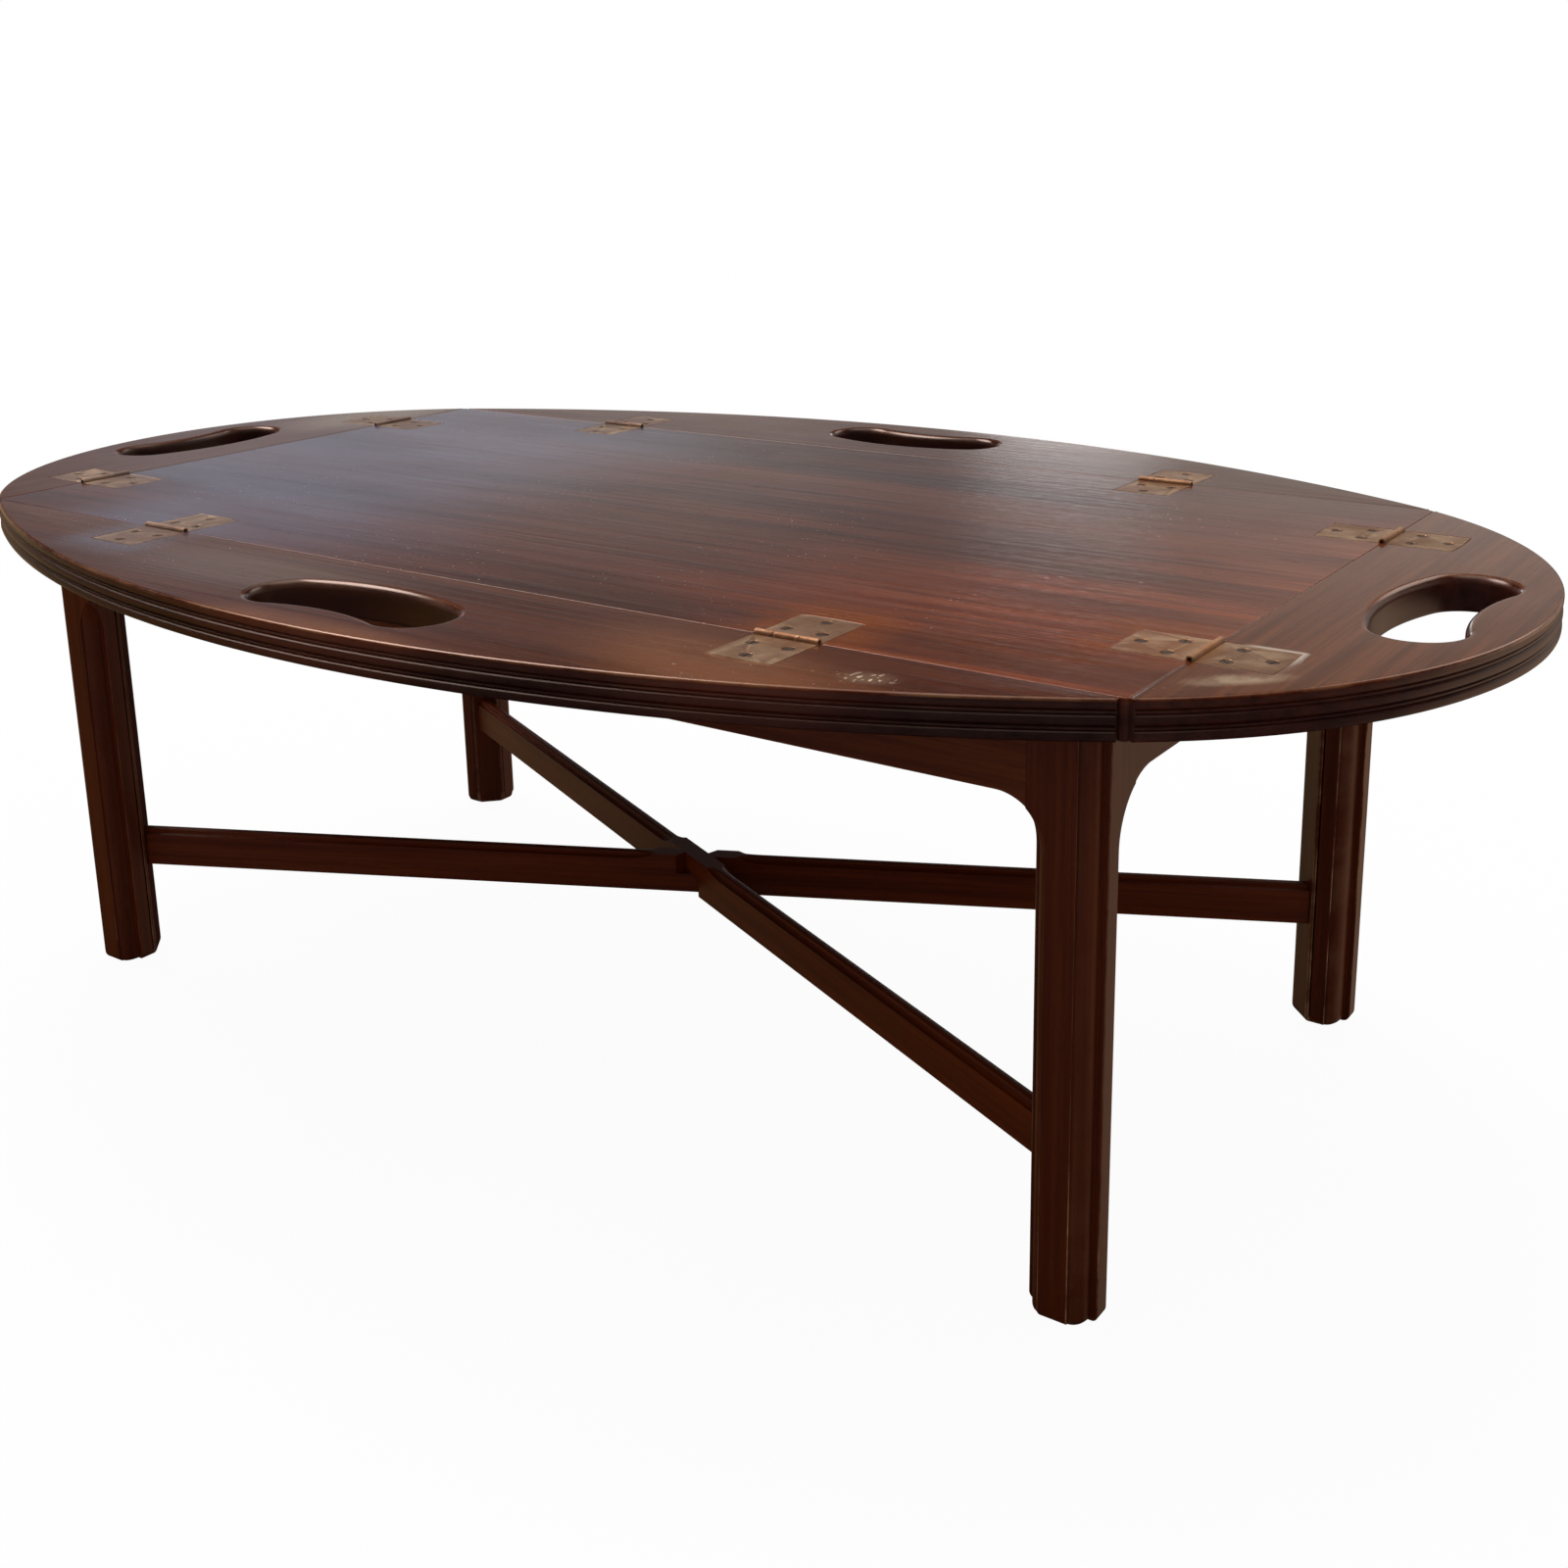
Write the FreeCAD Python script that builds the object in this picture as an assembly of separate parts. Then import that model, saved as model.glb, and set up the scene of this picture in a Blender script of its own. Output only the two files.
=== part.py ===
import FreeCAD, Part
from collections import namedtuple
import math
import os

# Butler's tray coffee table: a lift-off tray with four fold-up leaves on a cross-stretchered stand.
# Millimetres, +Z up, origin on the floor under the middle of the tray, long side along X.

# Whole table
table_height = 430.0
top_thickness = 26.0

# Tray panel and its four leaves
panel_length = 1060.0
panel_width = 564.0
panel_corner_cut = 2.0
seam_gap = 0.3
side_leaf_reach = 142.0
side_leaf_setback = 5.0
side_leaf_nose = 3.9
end_leaf_reach = 154.5
end_leaf_setback = 1.5
end_leaf_nose = 3.7

# Reeded rim: three flat reeds parted by two grooves
groove_height = 3.4
groove_depth = 2.0

# Hand slots
slot_lobe_radius = 28.0
slot_lobe_offset = 60.0
slot_depth = 67.0
slot_waist = 57.0
side_slot_inset = 42.0
end_slot_inset = 52.0

# Brass tray hinges
side_hinge_share = 0.569
end_hinge_share = 0.622
hinge_width = 48.0
hinge_reach = 51.5
hinge_corner_reach = 50.5
hinge_thickness = 2.0
knuckle_radius = 2.6
knuckle_rise = 0.8
middle_knuckle_length = 20.0
knuckle_end_gap = 0.15
pin_radius = 1.2

# Legs
leg_width = 48.5
leg_inset_x = 26.0
leg_inset_y = 23.0
leg_chamfer = 18.0
moulding_width = 14.5
moulding_quirk = 5.0
moulding_runout_drop = 121.0
moulding_runout_radius = 150.0

# Rails with curved bracket ends, and corner blocks
rail_thickness = 20.0
side_rail_depth = 54.0
end_rail_depth = 45.0
rail_tenon_length = 16.0
rail_tenon_thickness = 8.0
rail_tenon_shoulder = 6.0
bracket_foot_drop = 88.5
side_bracket_overrun = 13.0
end_bracket_overrun = 20.8
corner_block_depth = 22.0
corner_block_reach = 52.0

# Crossed stretchers
stretcher_top = 121.5
stretcher_height = 34.0
stretcher_thickness = 16.0
stretcher_cove_radius = 4.75
stretcher_plain_half = 36.0
stretcher_runout = 22.0
stretcher_tenon_length = 14.0
stretcher_tenon_thickness = 8.0
stretcher_tenon_shoulder = 6.0

# Cleats under the tray that keep it in place inside the rails
cleat_width = 20.0
cleat_depth = 18.0
cleat_end_gap = 20.0

# Fits
running_clearance = 0.3
pin_clearance = 0.04
cleat_clearance = 1.5
inlay_clearance = 0.1
joint_clearance = 0.1

# Derived values
underside_z = table_height - top_thickness
runout_start_height = underside_z - moulding_runout_drop
bracket_foot_height = underside_z - bracket_foot_drop
half_gap = seam_gap / 2
axis_z = table_height + knuckle_rise
leg_outer_x = panel_length / 2 - leg_inset_x
leg_outer_y = panel_width / 2 - leg_inset_y
leg_inner_x = leg_outer_x - leg_width
leg_inner_y = leg_outer_y - leg_width
up = FreeCAD.Vector(0, 0, 1)

# A seam's distance from the middle and its hinges' from the seam's middle, then its leaf's sizes
Seam = namedtuple("Seam", "distance hinge_offset reach half_length nose slot_inset")
side_seam = Seam(
    panel_width / 2 + half_gap,
    panel_length / 2 * side_hinge_share,
    side_leaf_reach + half_gap,
    panel_length / 2 - side_leaf_setback,
    side_leaf_nose,
    side_slot_inset,
)
end_seam = Seam(
    panel_length / 2 + half_gap,
    panel_width / 2 * end_hinge_share,
    end_leaf_reach + half_gap,
    panel_width / 2 - end_leaf_setback,
    end_leaf_nose,
    end_slot_inset,
)
seam_names = ["back", "left", "front", "right"]
seams = dict(zip(seam_names, [side_seam, end_seam, side_seam, end_seam]))


def vec(x, y, z=0.0):
    return FreeCAD.Vector(x, y, z)


def box(x0, x1, y0, y1, z0, z1):
    """Box between two opposite corners."""
    return Part.makeBox(x1 - x0, y1 - y0, z1 - z0, vec(x0, y0, z0))


def rod(radius, start, end):
    """Round bar from one point to another."""
    direction = end - start
    return Part.makeCylinder(radius, direction.Length, start, direction)


def prism(points, z0, z1):
    """Upright prism on a closed outline of corner points."""
    corners = [vec(x, y, z0) for x, y in points]
    wire = Part.makePolygon(corners + corners[:1])
    return Part.Face(wire).extrude(up * (z1 - z0))


def arc(start, middle, end):
    return Part.Arc(start, middle, end).toShape()


def mirrored(shape, flip_x, flip_y):
    """The shape mirrored in the planes X=0 and Y=0 as asked."""
    result = shape.copy()
    if flip_x:
        result = result.mirror(vec(0, 0), vec(1, 0))
    if flip_y:
        result = result.mirror(vec(0, 0), vec(0, 1))
    return result


# Slot outline in the leaf's frame: the seam is y=0 and the leaf runs out along +y
def slot_cutter(inset):
    """Kidney-shaped hand slot through the leaf, its waist bowed towards the seam."""
    r = slot_lobe_radius
    lobe_y = inset + slot_depth - r
    rise = slot_depth - r
    inner_radius = (slot_lobe_offset**2 + rise**2 - r**2) / (2 * (rise - r))
    drop = slot_waist - rise
    bump_radius = (slot_lobe_offset**2 + drop**2 - r**2) / (2 * (r - drop))
    bump_y = inset + slot_waist + bump_radius
    inner = vec(0, inset + inner_radius)
    bump = vec(0, bump_y)
    lobes = [vec(side * slot_lobe_offset, lobe_y) for side in (-1, 1)]
    inner_ends = [lobe + (lobe - inner).normalize() * r for lobe in lobes]
    bump_ends = [lobe + (bump - lobe).normalize() * r for lobe in lobes]
    tips = [vec(side * (slot_lobe_offset + r), lobe_y) for side in (-1, 1)]
    edges = [
        arc(inner_ends[0], vec(0, inset), inner_ends[1]),
        arc(inner_ends[1], tips[1], bump_ends[1]),
        arc(bump_ends[1], vec(0, inset + slot_waist), bump_ends[0]),
        arc(bump_ends[0], tips[0], inner_ends[0]),
    ]
    face = Part.Face(Part.Wire(edges))
    face.translate(up * underside_z)
    return face.extrude(up * top_thickness)


def rim_profile(radius):
    """Upright section from the rim's centre out to its reeds."""
    reed_height = (top_thickness - 2 * groove_height) / 3
    points = [vec(0, 0, underside_z), vec(radius, 0, underside_z)]
    for groove in (1, 2):
        start = underside_z + groove * reed_height + (groove - 1) * groove_height
        points.append(vec(radius, 0, start))
        points.append(vec(radius - groove_depth, 0, start + groove_height / 2))
        points.append(vec(radius, 0, start + groove_height))
    points.append(vec(radius, 0, table_height))
    points.append(vec(0, 0, table_height))
    return Part.Face(Part.makePolygon(points + points[:1]))


def leaf_blank(seam):
    """D-shaped leaf: seam at y=0, its reeded rim bowed from nose to nose through the full reach."""
    half = seam.half_length
    rise = seam.reach - seam.nose
    radius = (half**2 + rise**2) / (2 * rise)
    half_angle = math.degrees(math.atan2(half, radius - seam.reach))
    profile = rim_profile(radius)
    profile.rotate(vec(0, 0), up, 90 - half_angle)
    disc = profile.revolve(vec(0, 0), up, 2 * half_angle)
    disc.translate(vec(0, seam.reach - radius))
    return disc.common(box(-half, half, half_gap, seam.reach, underside_z, table_height))


# Hinge parts in the seam's frame: pin along X at height axis_z, leaf side towards +y
def plate_outline(margin):
    """Hinge plate seen from above: square at the pin, bowed at its outer end."""
    half = hinge_width / 2 + margin
    corner = hinge_corner_reach + margin
    tip = hinge_reach + margin
    edges = [
        Part.makeLine(vec(-half, 0), vec(half, 0)),
        Part.makeLine(vec(half, 0), vec(half, corner)),
        arc(vec(half, corner), vec(0, tip), vec(-half, corner)),
        Part.makeLine(vec(-half, corner), vec(-half, 0)),
    ]
    return Part.Face(Part.Wire(edges))


def plate_slab(margin):
    slab = plate_outline(margin).extrude(up * hinge_thickness)
    slab.translate(up * (table_height - hinge_thickness))
    return slab


def barrel(radius, x0, x1):
    return rod(radius, vec(x0, 0, axis_z), vec(x1, 0, axis_z))


def hinge_leaf_plate():
    """Plate with the middle knuckle, bored for the pin and set back beside the outer knuckles."""
    inner = middle_knuckle_length / 2
    outer = hinge_width / 2 + running_clearance
    reach = knuckle_radius + running_clearance
    plate = plate_slab(0.0)
    for start, end in ((-outer, knuckle_end_gap - inner), (inner - knuckle_end_gap, outer)):
        plate = plate.cut(barrel(reach, start, end))
    plate = plate.fuse(barrel(knuckle_radius, knuckle_end_gap - inner, inner - knuckle_end_gap))
    bore = barrel(pin_radius + pin_clearance, -inner, inner)
    return plate.cut(bore).removeSplitter()


def hinge_panel_plate():
    """Plate with the two outer knuckles and the pin fixed in them."""
    inner = middle_knuckle_length / 2
    outer = hinge_width / 2
    plate = plate_slab(0.0).cut(barrel(knuckle_radius + running_clearance, -inner, inner))
    for start, end in ((-outer, -inner), (inner, outer)):
        plate = plate.fuse(barrel(knuckle_radius, start, end))
    return plate.fuse(barrel(pin_radius, -inner, inner)).removeSplitter()


def hinge_mortise():
    """What one hinge takes out of the board at its side of the seam."""
    reach = knuckle_radius + running_clearance + inlay_clearance
    half = hinge_width / 2 + running_clearance
    groove = box(-half, half, 0, reach, axis_z - reach, table_height)
    return plate_slab(inlay_clearance).fuse(groove)


def seated(shape, name):
    """A shape made in a seam's own frame, moved to where that seam lies on the tray."""
    result = shape.copy()
    result.translate(vec(0, seams[name].distance))
    result.rotate(vec(0, 0), up, 90 * seam_names.index(name))
    return result


def at_hinges(shape, name, far_side=True):
    """Copies of a hinge part at both hinges of a seam; the panel side is the leaf side turned."""
    copies = []
    for side in (-1, 1):
        copy = shape.copy()
        if not far_side:
            copy.rotate(vec(0, 0), up, 180)
        copy.translate(vec(side * seams[name].hinge_offset, 0))
        copies.append(seated(copy, name))
    return copies


def leaf(name):
    seam = seams[name]
    board = leaf_blank(seam).cut(slot_cutter(seam.slot_inset))
    for side in (-1, 1):
        cut = hinge_mortise()
        cut.translate(vec(side * seam.hinge_offset, 0))
        board = board.cut(cut)
    return seated(board, name)


def tray_panel():
    x = panel_length / 2
    y = panel_width / 2
    c = panel_corner_cut
    quarter = [(x, y - c), (x - c, y)]
    outline = quarter + [(-a, b) for a, b in reversed(quarter)]
    outline = outline + [(-a, -b) for a, b in outline]
    board = prism(outline, underside_z, table_height)
    for name in seam_names:
        for cut in at_hinges(hinge_mortise(), name, far_side=False):
            board = board.cut(cut)
    return board


def side_cleat():
    outer = leg_outer_y - rail_thickness - cleat_clearance
    half = leg_inner_x - corner_block_reach - cleat_end_gap
    return box(-half, half, outer - cleat_width, outer, underside_z - cleat_depth, underside_z)


def end_cleat():
    outer = leg_outer_x - rail_thickness - cleat_clearance
    half = leg_inner_y - corner_block_reach - cleat_end_gap
    return box(outer - cleat_width, outer, -half, half, underside_z - cleat_depth, underside_z)


# Legs and their mouldings, made for the corner at +x +y
def corner_cut(height):
    """Material taken off a corner at the origin that runs into -x -y, leaving a recessed quarter round."""
    m = moulding_width
    q = moulding_quirk
    bend = (m - q) * math.sqrt(0.5)
    edges = [
        Part.makeLine(vec(0, 0), vec(0, -m)),
        Part.makeLine(vec(0, -m), vec(-q, -m)),
        arc(vec(-q, -m), vec(bend - m, bend - m), vec(-m, -q)),
        Part.makeLine(vec(-m, -q), vec(-m, 0)),
        Part.makeLine(vec(-m, 0), vec(0, 0)),
    ]
    return Part.Face(Part.Wire(edges)).extrude(up * height)


def stopped_cut():
    """The corner cut lifted out of the wood along a long arc."""
    depth = (moulding_width + moulding_quirk) * math.sqrt(0.5)
    plain = corner_cut(runout_start_height)
    runout = corner_cut(underside_z)
    centre = moulding_runout_radius - depth
    along = vec(1, -1).normalize() * leg_width
    middle = vec(1, 1).normalize() * centre + up * runout_start_height
    return plain.fuse(runout.common(rod(moulding_runout_radius, middle - along, middle + along)))


def leg():
    x0, x1 = leg_inner_x, leg_outer_x
    y0, y1 = leg_inner_y, leg_outer_y
    c = leg_chamfer
    outline = [(x0 + c, y0), (x1, y0), (x1, y1), (x0, y1), (x0, y0 + c)]
    body = prism(outline, 0, underside_z)
    outer = corner_cut(underside_z)
    outer.translate(vec(x1, y1))
    body = body.cut(outer)
    for turn, x, y in ((90.0, x0, y1), (-90.0, x1, y0)):
        cut = stopped_cut()
        cut.rotate(vec(0, 0), up, turn)
        cut.translate(vec(x, y))
        body = body.cut(cut)
    body = body.cut(side_rail_tenon(joint_clearance))
    body = body.cut(end_rail_tenon(joint_clearance))
    return body.cut(stretcher_tenon(joint_clearance))


# Rails, each spanning between the inner faces of two legs and tenoned into them
def tenon_levels(depth, margin):
    z0 = underside_z - depth + rail_tenon_shoulder - margin
    z1 = underside_z - rail_tenon_shoulder + margin
    return z0, z1


def side_rail_tenon(margin):
    z0, z1 = tenon_levels(side_rail_depth, margin)
    middle = leg_outer_y - rail_thickness / 2
    half = rail_tenon_thickness / 2 + margin
    return box(0, leg_inner_x + rail_tenon_length + margin, middle - half, middle + half, z0, z1)


def end_rail_tenon(margin):
    z0, z1 = tenon_levels(end_rail_depth, margin)
    middle = leg_outer_x - rail_thickness / 2
    half = rail_tenon_thickness / 2 + margin
    return box(middle - half, middle + half, 0, leg_inner_y + rail_tenon_length + margin, z0, z1)


def bracket(rail_depth, face, overrun):
    """Curved bracket under a rail, drawn along +x, ending against a leg face at x=face."""
    top = underside_z - rail_depth
    radius = top - bracket_foot_height
    middle = face + overrun - radius
    sweep = math.asin((face - middle) / radius)
    centre = vec(middle, 0, bracket_foot_height)
    start, bend, toe = [
        centre + vec(math.sin(turn), 0, math.cos(turn)) * radius for turn in (0, sweep / 2, sweep)
    ]
    corner = vec(face, 0, top)
    edges = [arc(start, bend, toe), Part.makeLine(toe, corner), Part.makeLine(corner, start)]
    return Part.Face(Part.Wire(edges)).extrude(vec(0, rail_thickness))


def side_rail():
    inner = leg_outer_y - rail_thickness
    half = box(0, leg_inner_x, inner, leg_outer_y, underside_z - side_rail_depth, underside_z)
    end = bracket(side_rail_depth, leg_inner_x, side_bracket_overrun)
    end.translate(vec(0, inner))
    half = half.fuse(end).fuse(side_rail_tenon(0.0))
    return half.fuse(mirrored(half, True, False)).removeSplitter()


def end_rail():
    inner = leg_outer_x - rail_thickness
    half = box(inner, leg_outer_x, 0, leg_inner_y, underside_z - end_rail_depth, underside_z)
    end = bracket(end_rail_depth, leg_inner_y, end_bracket_overrun)
    end.rotate(vec(0, 0), up, 90)
    end.translate(vec(leg_outer_x, 0))
    half = half.fuse(end).fuse(end_rail_tenon(0.0))
    return half.fuse(mirrored(half, False, True)).removeSplitter()


def corner_block():
    """Glue block filling the corner between two rails and fitted round the leg."""
    rail_x = leg_outer_x - rail_thickness
    rail_y = leg_outer_y - rail_thickness
    c = leg_chamfer
    outline = [
        (leg_inner_x, rail_y),
        (leg_inner_x - corner_block_reach, rail_y),
        (rail_x, leg_inner_y - corner_block_reach),
        (rail_x, leg_inner_y),
        (leg_inner_x + c, leg_inner_y),
        (leg_inner_x, leg_inner_y + c),
    ]
    return prism(outline, underside_z - corner_block_depth, underside_z)


# Stretchers on the diagonals, halved over each other in the middle
def stretcher_course():
    """Direction of the bar towards the leg at +x +y and the distance to the middle of its chamfer."""
    target = vec(leg_inner_x + leg_chamfer / 2, leg_inner_y + leg_chamfer / 2)
    return target, math.degrees(math.atan2(target.y, target.x))


def stretcher_tenon(margin):
    """Tenon at the end of the bar, lying along the bar's own course."""
    target, turn = stretcher_course()
    half = stretcher_tenon_thickness / 2 + margin
    z0 = stretcher_top - stretcher_height + stretcher_tenon_shoulder - margin
    z1 = stretcher_top - stretcher_tenon_shoulder - stretcher_cove_radius + margin
    end = target.Length + stretcher_tenon_length + margin
    shape = box(end - 2 * stretcher_tenon_length, end, -half, half, z0, z1)
    shape.rotate(vec(0, 0), up, turn)
    return shape


def stretcher_coves(length):
    """Coves along both upper edges of a bar, ramped out on either side of the crossing."""
    half = stretcher_thickness / 2
    floor = stretcher_top - stretcher_cove_radius
    start = stretcher_plain_half
    side_view = [
        vec(start, -half, stretcher_top),
        vec(start + stretcher_runout, -half, floor),
        vec(length, -half, floor),
        vec(length, -half, stretcher_top),
    ]
    reach = Part.Face(Part.makePolygon(side_view + side_view[:1])).extrude(vec(0, stretcher_thickness))
    coves = []
    for side in (-half, half):
        cove = rod(stretcher_cove_radius, vec(start, side, stretcher_top), vec(length, side, stretcher_top))
        coves.append(cove.common(reach))
    return coves


def stretcher(over):
    """One bar of the cross; the upper one is notched below, the lower one above."""
    target, turn = stretcher_course()
    half = stretcher_thickness / 2
    low = stretcher_top - stretcher_height
    length = target.Length + leg_chamfer
    bar = box(0, length, -half, half, low, stretcher_top)
    for cove in stretcher_coves(length):
        bar = bar.cut(cove)
    bar.rotate(vec(0, 0), up, turn)
    back = -stretcher_thickness
    shoulder = [
        (back, back),
        (leg_inner_x + leg_chamfer, back),
        (leg_inner_x + leg_chamfer, leg_inner_y),
        (leg_inner_x, leg_inner_y + leg_chamfer),
        (back, leg_inner_y + leg_chamfer),
    ]
    bar = bar.common(prism(shoulder, low, stretcher_top)).fuse(stretcher_tenon(0.0))
    turned = bar.copy()
    turned.rotate(vec(0, 0), up, 180)
    bar = bar.fuse(turned).removeSplitter()
    lap = low + stretcher_height / 2
    levels = (low, lap) if over else (lap, stretcher_top)
    notch = box(-length, length, -half, half, levels[0], levels[1])
    notch.rotate(vec(0, 0), up, -turn)
    bar = bar.cut(notch)
    return mirrored(bar, False, True) if over else bar


def write(name, solids):
    """One STEP file for one node: its solid, or its group of equal solids."""
    shape = solids[0] if len(solids) == 1 else Part.makeCompound(solids)
    shape.exportStep("parts/" + name + ".step")


def single(shape):
    """The one solid of a shape that booleans may have wrapped."""
    return [shape.Solids[0]]


os.makedirs("parts", exist_ok=True)

corners = {
    "back_right": (False, False),
    "back_left": (True, False),
    "front_left": (True, True),
    "front_right": (False, True),
}
for corner, (flip_x, flip_y) in corners.items():
    write("leg_" + corner, single(mirrored(leg(), flip_x, flip_y)))
    write("corner_block_" + corner, single(mirrored(corner_block(), flip_x, flip_y)))

write("rail_back", single(side_rail()))
write("rail_front", single(mirrored(side_rail(), False, True)))
write("rail_right", single(end_rail()))
write("rail_left", single(mirrored(end_rail(), True, False)))
write("stretcher_upper", single(stretcher(True)))
write("stretcher_lower", single(stretcher(False)))

write("tray_panel", single(tray_panel()))
write("cleat_back", single(side_cleat()))
write("cleat_front", single(mirrored(side_cleat(), False, True)))
write("cleat_right", single(end_cleat()))
write("cleat_left", single(mirrored(end_cleat(), True, False)))
for name in seam_names:
    write("leaf_" + name, single(leaf(name)))
    write("hinges_leaf_side_" + name, at_hinges(hinge_leaf_plate(), name))
    write("hinges_panel_side_" + name, at_hinges(hinge_panel_plate(), name, far_side=False))
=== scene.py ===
import math

import bmesh
import bpy
import numpy as np
from mathutils import Matrix, geometry


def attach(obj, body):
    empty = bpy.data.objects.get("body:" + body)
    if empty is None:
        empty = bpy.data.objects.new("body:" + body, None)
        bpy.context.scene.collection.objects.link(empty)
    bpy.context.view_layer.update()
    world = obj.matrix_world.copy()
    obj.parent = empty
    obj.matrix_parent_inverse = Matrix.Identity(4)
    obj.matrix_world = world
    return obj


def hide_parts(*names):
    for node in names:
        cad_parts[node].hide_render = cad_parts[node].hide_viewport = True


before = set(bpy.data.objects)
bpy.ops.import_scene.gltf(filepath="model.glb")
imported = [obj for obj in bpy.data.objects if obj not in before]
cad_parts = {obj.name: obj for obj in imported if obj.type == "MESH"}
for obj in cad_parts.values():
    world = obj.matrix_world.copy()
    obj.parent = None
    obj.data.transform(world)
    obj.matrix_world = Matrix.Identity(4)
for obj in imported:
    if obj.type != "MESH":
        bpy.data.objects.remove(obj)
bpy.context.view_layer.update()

# Legs. Four square mahogany posts. The outer corner and the two side corners carry a sunk oval round
# moulding, the inner corner is chamfered where the cross bar meets it, and the feet are rubbed round.

top_height = 430.0
board_thickness = 26.0
underside = top_height - board_thickness
leg_width = 48.5
leg_outer_x = 504.0
leg_outer_y = 259.0
leg_chamfer = 18.0
chamfer_flat = 3.0
moulding_width = 14.5
side_step = 5.0
front_step = 1.4
bracket_foot = 315.5
side_bracket_radius = 34.5
side_bracket_overrun = 13.0
end_bracket_radius = 43.5
end_bracket_overrun = 20.8
foot_radius = 6.5
corner_flat = 3.4
rub_fade = 60.0
crest_fade = 40.0
kick_height = 5.0
sharp_angle = 40.0
merge_metres = 0.000004


def put(tree, kind, inputs=None, **settings):
    """A shader node with its settings, and its inputs set to values or joined to other nodes' outputs."""
    made = tree.nodes.new("ShaderNode" + kind)
    for key, value in settings.items():
        setattr(made, key, value)
    for key, value in (inputs or {}).items():
        if isinstance(value, bpy.types.NodeSocket):
            tree.links.new(value, made.inputs[key])
        else:
            made.inputs[key].default_value = value
    return made


def effect(name, takes, gives):
    """A node group with named inputs and outputs, given as (kind, name, value) and (kind, name)."""
    group = bpy.data.node_groups.new(name, "ShaderNodeTree")
    for kind, label, value in takes:
        socket = group.interface.new_socket(label, in_out="INPUT", socket_type="NodeSocket" + kind)
        if value is not None:
            socket.default_value = value
    for kind, label in gives:
        group.interface.new_socket(label, in_out="OUTPUT", socket_type="NodeSocket" + kind)
    return group, group.nodes.new("NodeGroupInput").outputs, group.nodes.new("NodeGroupOutput").inputs


def sums(tree, operation, *values):
    """One step of arithmetic on numbers or outputs."""
    return put(tree, "Math", dict(enumerate(values)), operation=operation).outputs[0]


def times(tree, first, second):
    """Two numbers or outputs multiplied."""
    return sums(tree, "MULTIPLY", first, second)


def vectors(tree, operation, *values):
    """One step of arithmetic on vectors; gives a number where the step measures one."""
    made = put(tree, "VectorMath", dict(enumerate(values)), operation=operation).outputs
    return made["Value" if operation in ("DISTANCE", "DOT_PRODUCT", "LENGTH") else "Vector"]


def noise(tree, vector, stretch, detail=4.0, rough=0.55):
    """Fractal noise on coordinates stretched by three factors."""
    stretched = put(tree, "Mapping", {"Vector": vector, "Scale": stretch}).outputs[0]
    sizes = {"Vector": stretched, "Scale": 1.0, "Detail": detail, "Roughness": rough}
    return put(tree, "TexNoise", sizes).outputs["Fac"]


def step(tree, value, low, high, to_low=0.0, to_high=1.0):
    """A soft step from to_low to to_high as the value climbs from low to high."""
    levels = {"Value": value, "From Min": low, "From Max": high, "To Min": to_low, "To Max": to_high}
    return put(tree, "MapRange", levels, interpolation_type="SMOOTHSTEP").outputs[0]


def blend(tree, factor, first, second, mode="MIX"):
    """Two colours mixed by a factor."""
    made = put(tree, "Mix", {0: factor}, data_type="RGBA", blend_type=mode)
    for index, value in ((6, first), (7, second)):
        if isinstance(value, bpy.types.NodeSocket):
            tree.links.new(value, made.inputs[index])
        else:
            made.inputs[index].default_value = value
    return made.outputs[2]


def tone(red, green, blue):
    """A linear colour."""
    return (red, green, blue, 1.0)


# Mahogany figure: long streaks, ribbon bands and short pores, all along X
grain, given, out = effect(
    "mahogany_figure",
    [("Vector", "Vector", None), ("Color", "Deep", tone(0.02, 0.005, 0.003)),
     ("Color", "Body", tone(0.08, 0.02, 0.01)), ("Color", "Light", tone(0.15, 0.045, 0.02))],
    [("Color", "Color"), ("Float", "Relief")],
)
sway = noise(grain, given["Vector"], (2.0, 6.0, 6.0), detail=2.0)
drift = put(grain, "CombineXYZ", {"Y": sums(grain, "MULTIPLY_ADD", sway, 0.012, -0.006)}).outputs[0]
swayed = vectors(grain, "ADD", given["Vector"], drift)
bands = step(grain, noise(grain, swayed, (0.8, 11.0, 11.0), detail=3.0), 0.36, 0.66)
streaks = step(grain, noise(grain, swayed, (2.6, 120.0, 120.0), detail=5.0, rough=0.65), 0.36, 0.70)
lines = noise(grain, swayed, (9.0, 420.0, 420.0), detail=2.0)
pores = step(grain, noise(grain, swayed, (70.0, 1500.0, 1500.0), detail=1.0), 0.60, 0.72)
mixed = blend(grain, times(grain, bands, 0.55), given["Body"], given["Light"])
mixed = blend(grain, times(grain, streaks, 0.62), mixed, given["Deep"])
mixed = blend(grain, step(grain, lines, 0.35, 0.75, 0.0, 0.35), mixed, given["Deep"])
mixed = blend(grain, times(grain, pores, 0.45), mixed, given["Deep"])
grain.links.new(mixed, out["Color"])
grain.links.new(sums(grain, "MULTIPLY_ADD", pores, -0.6, times(grain, streaks, 2.2)), out["Relief"])

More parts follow.
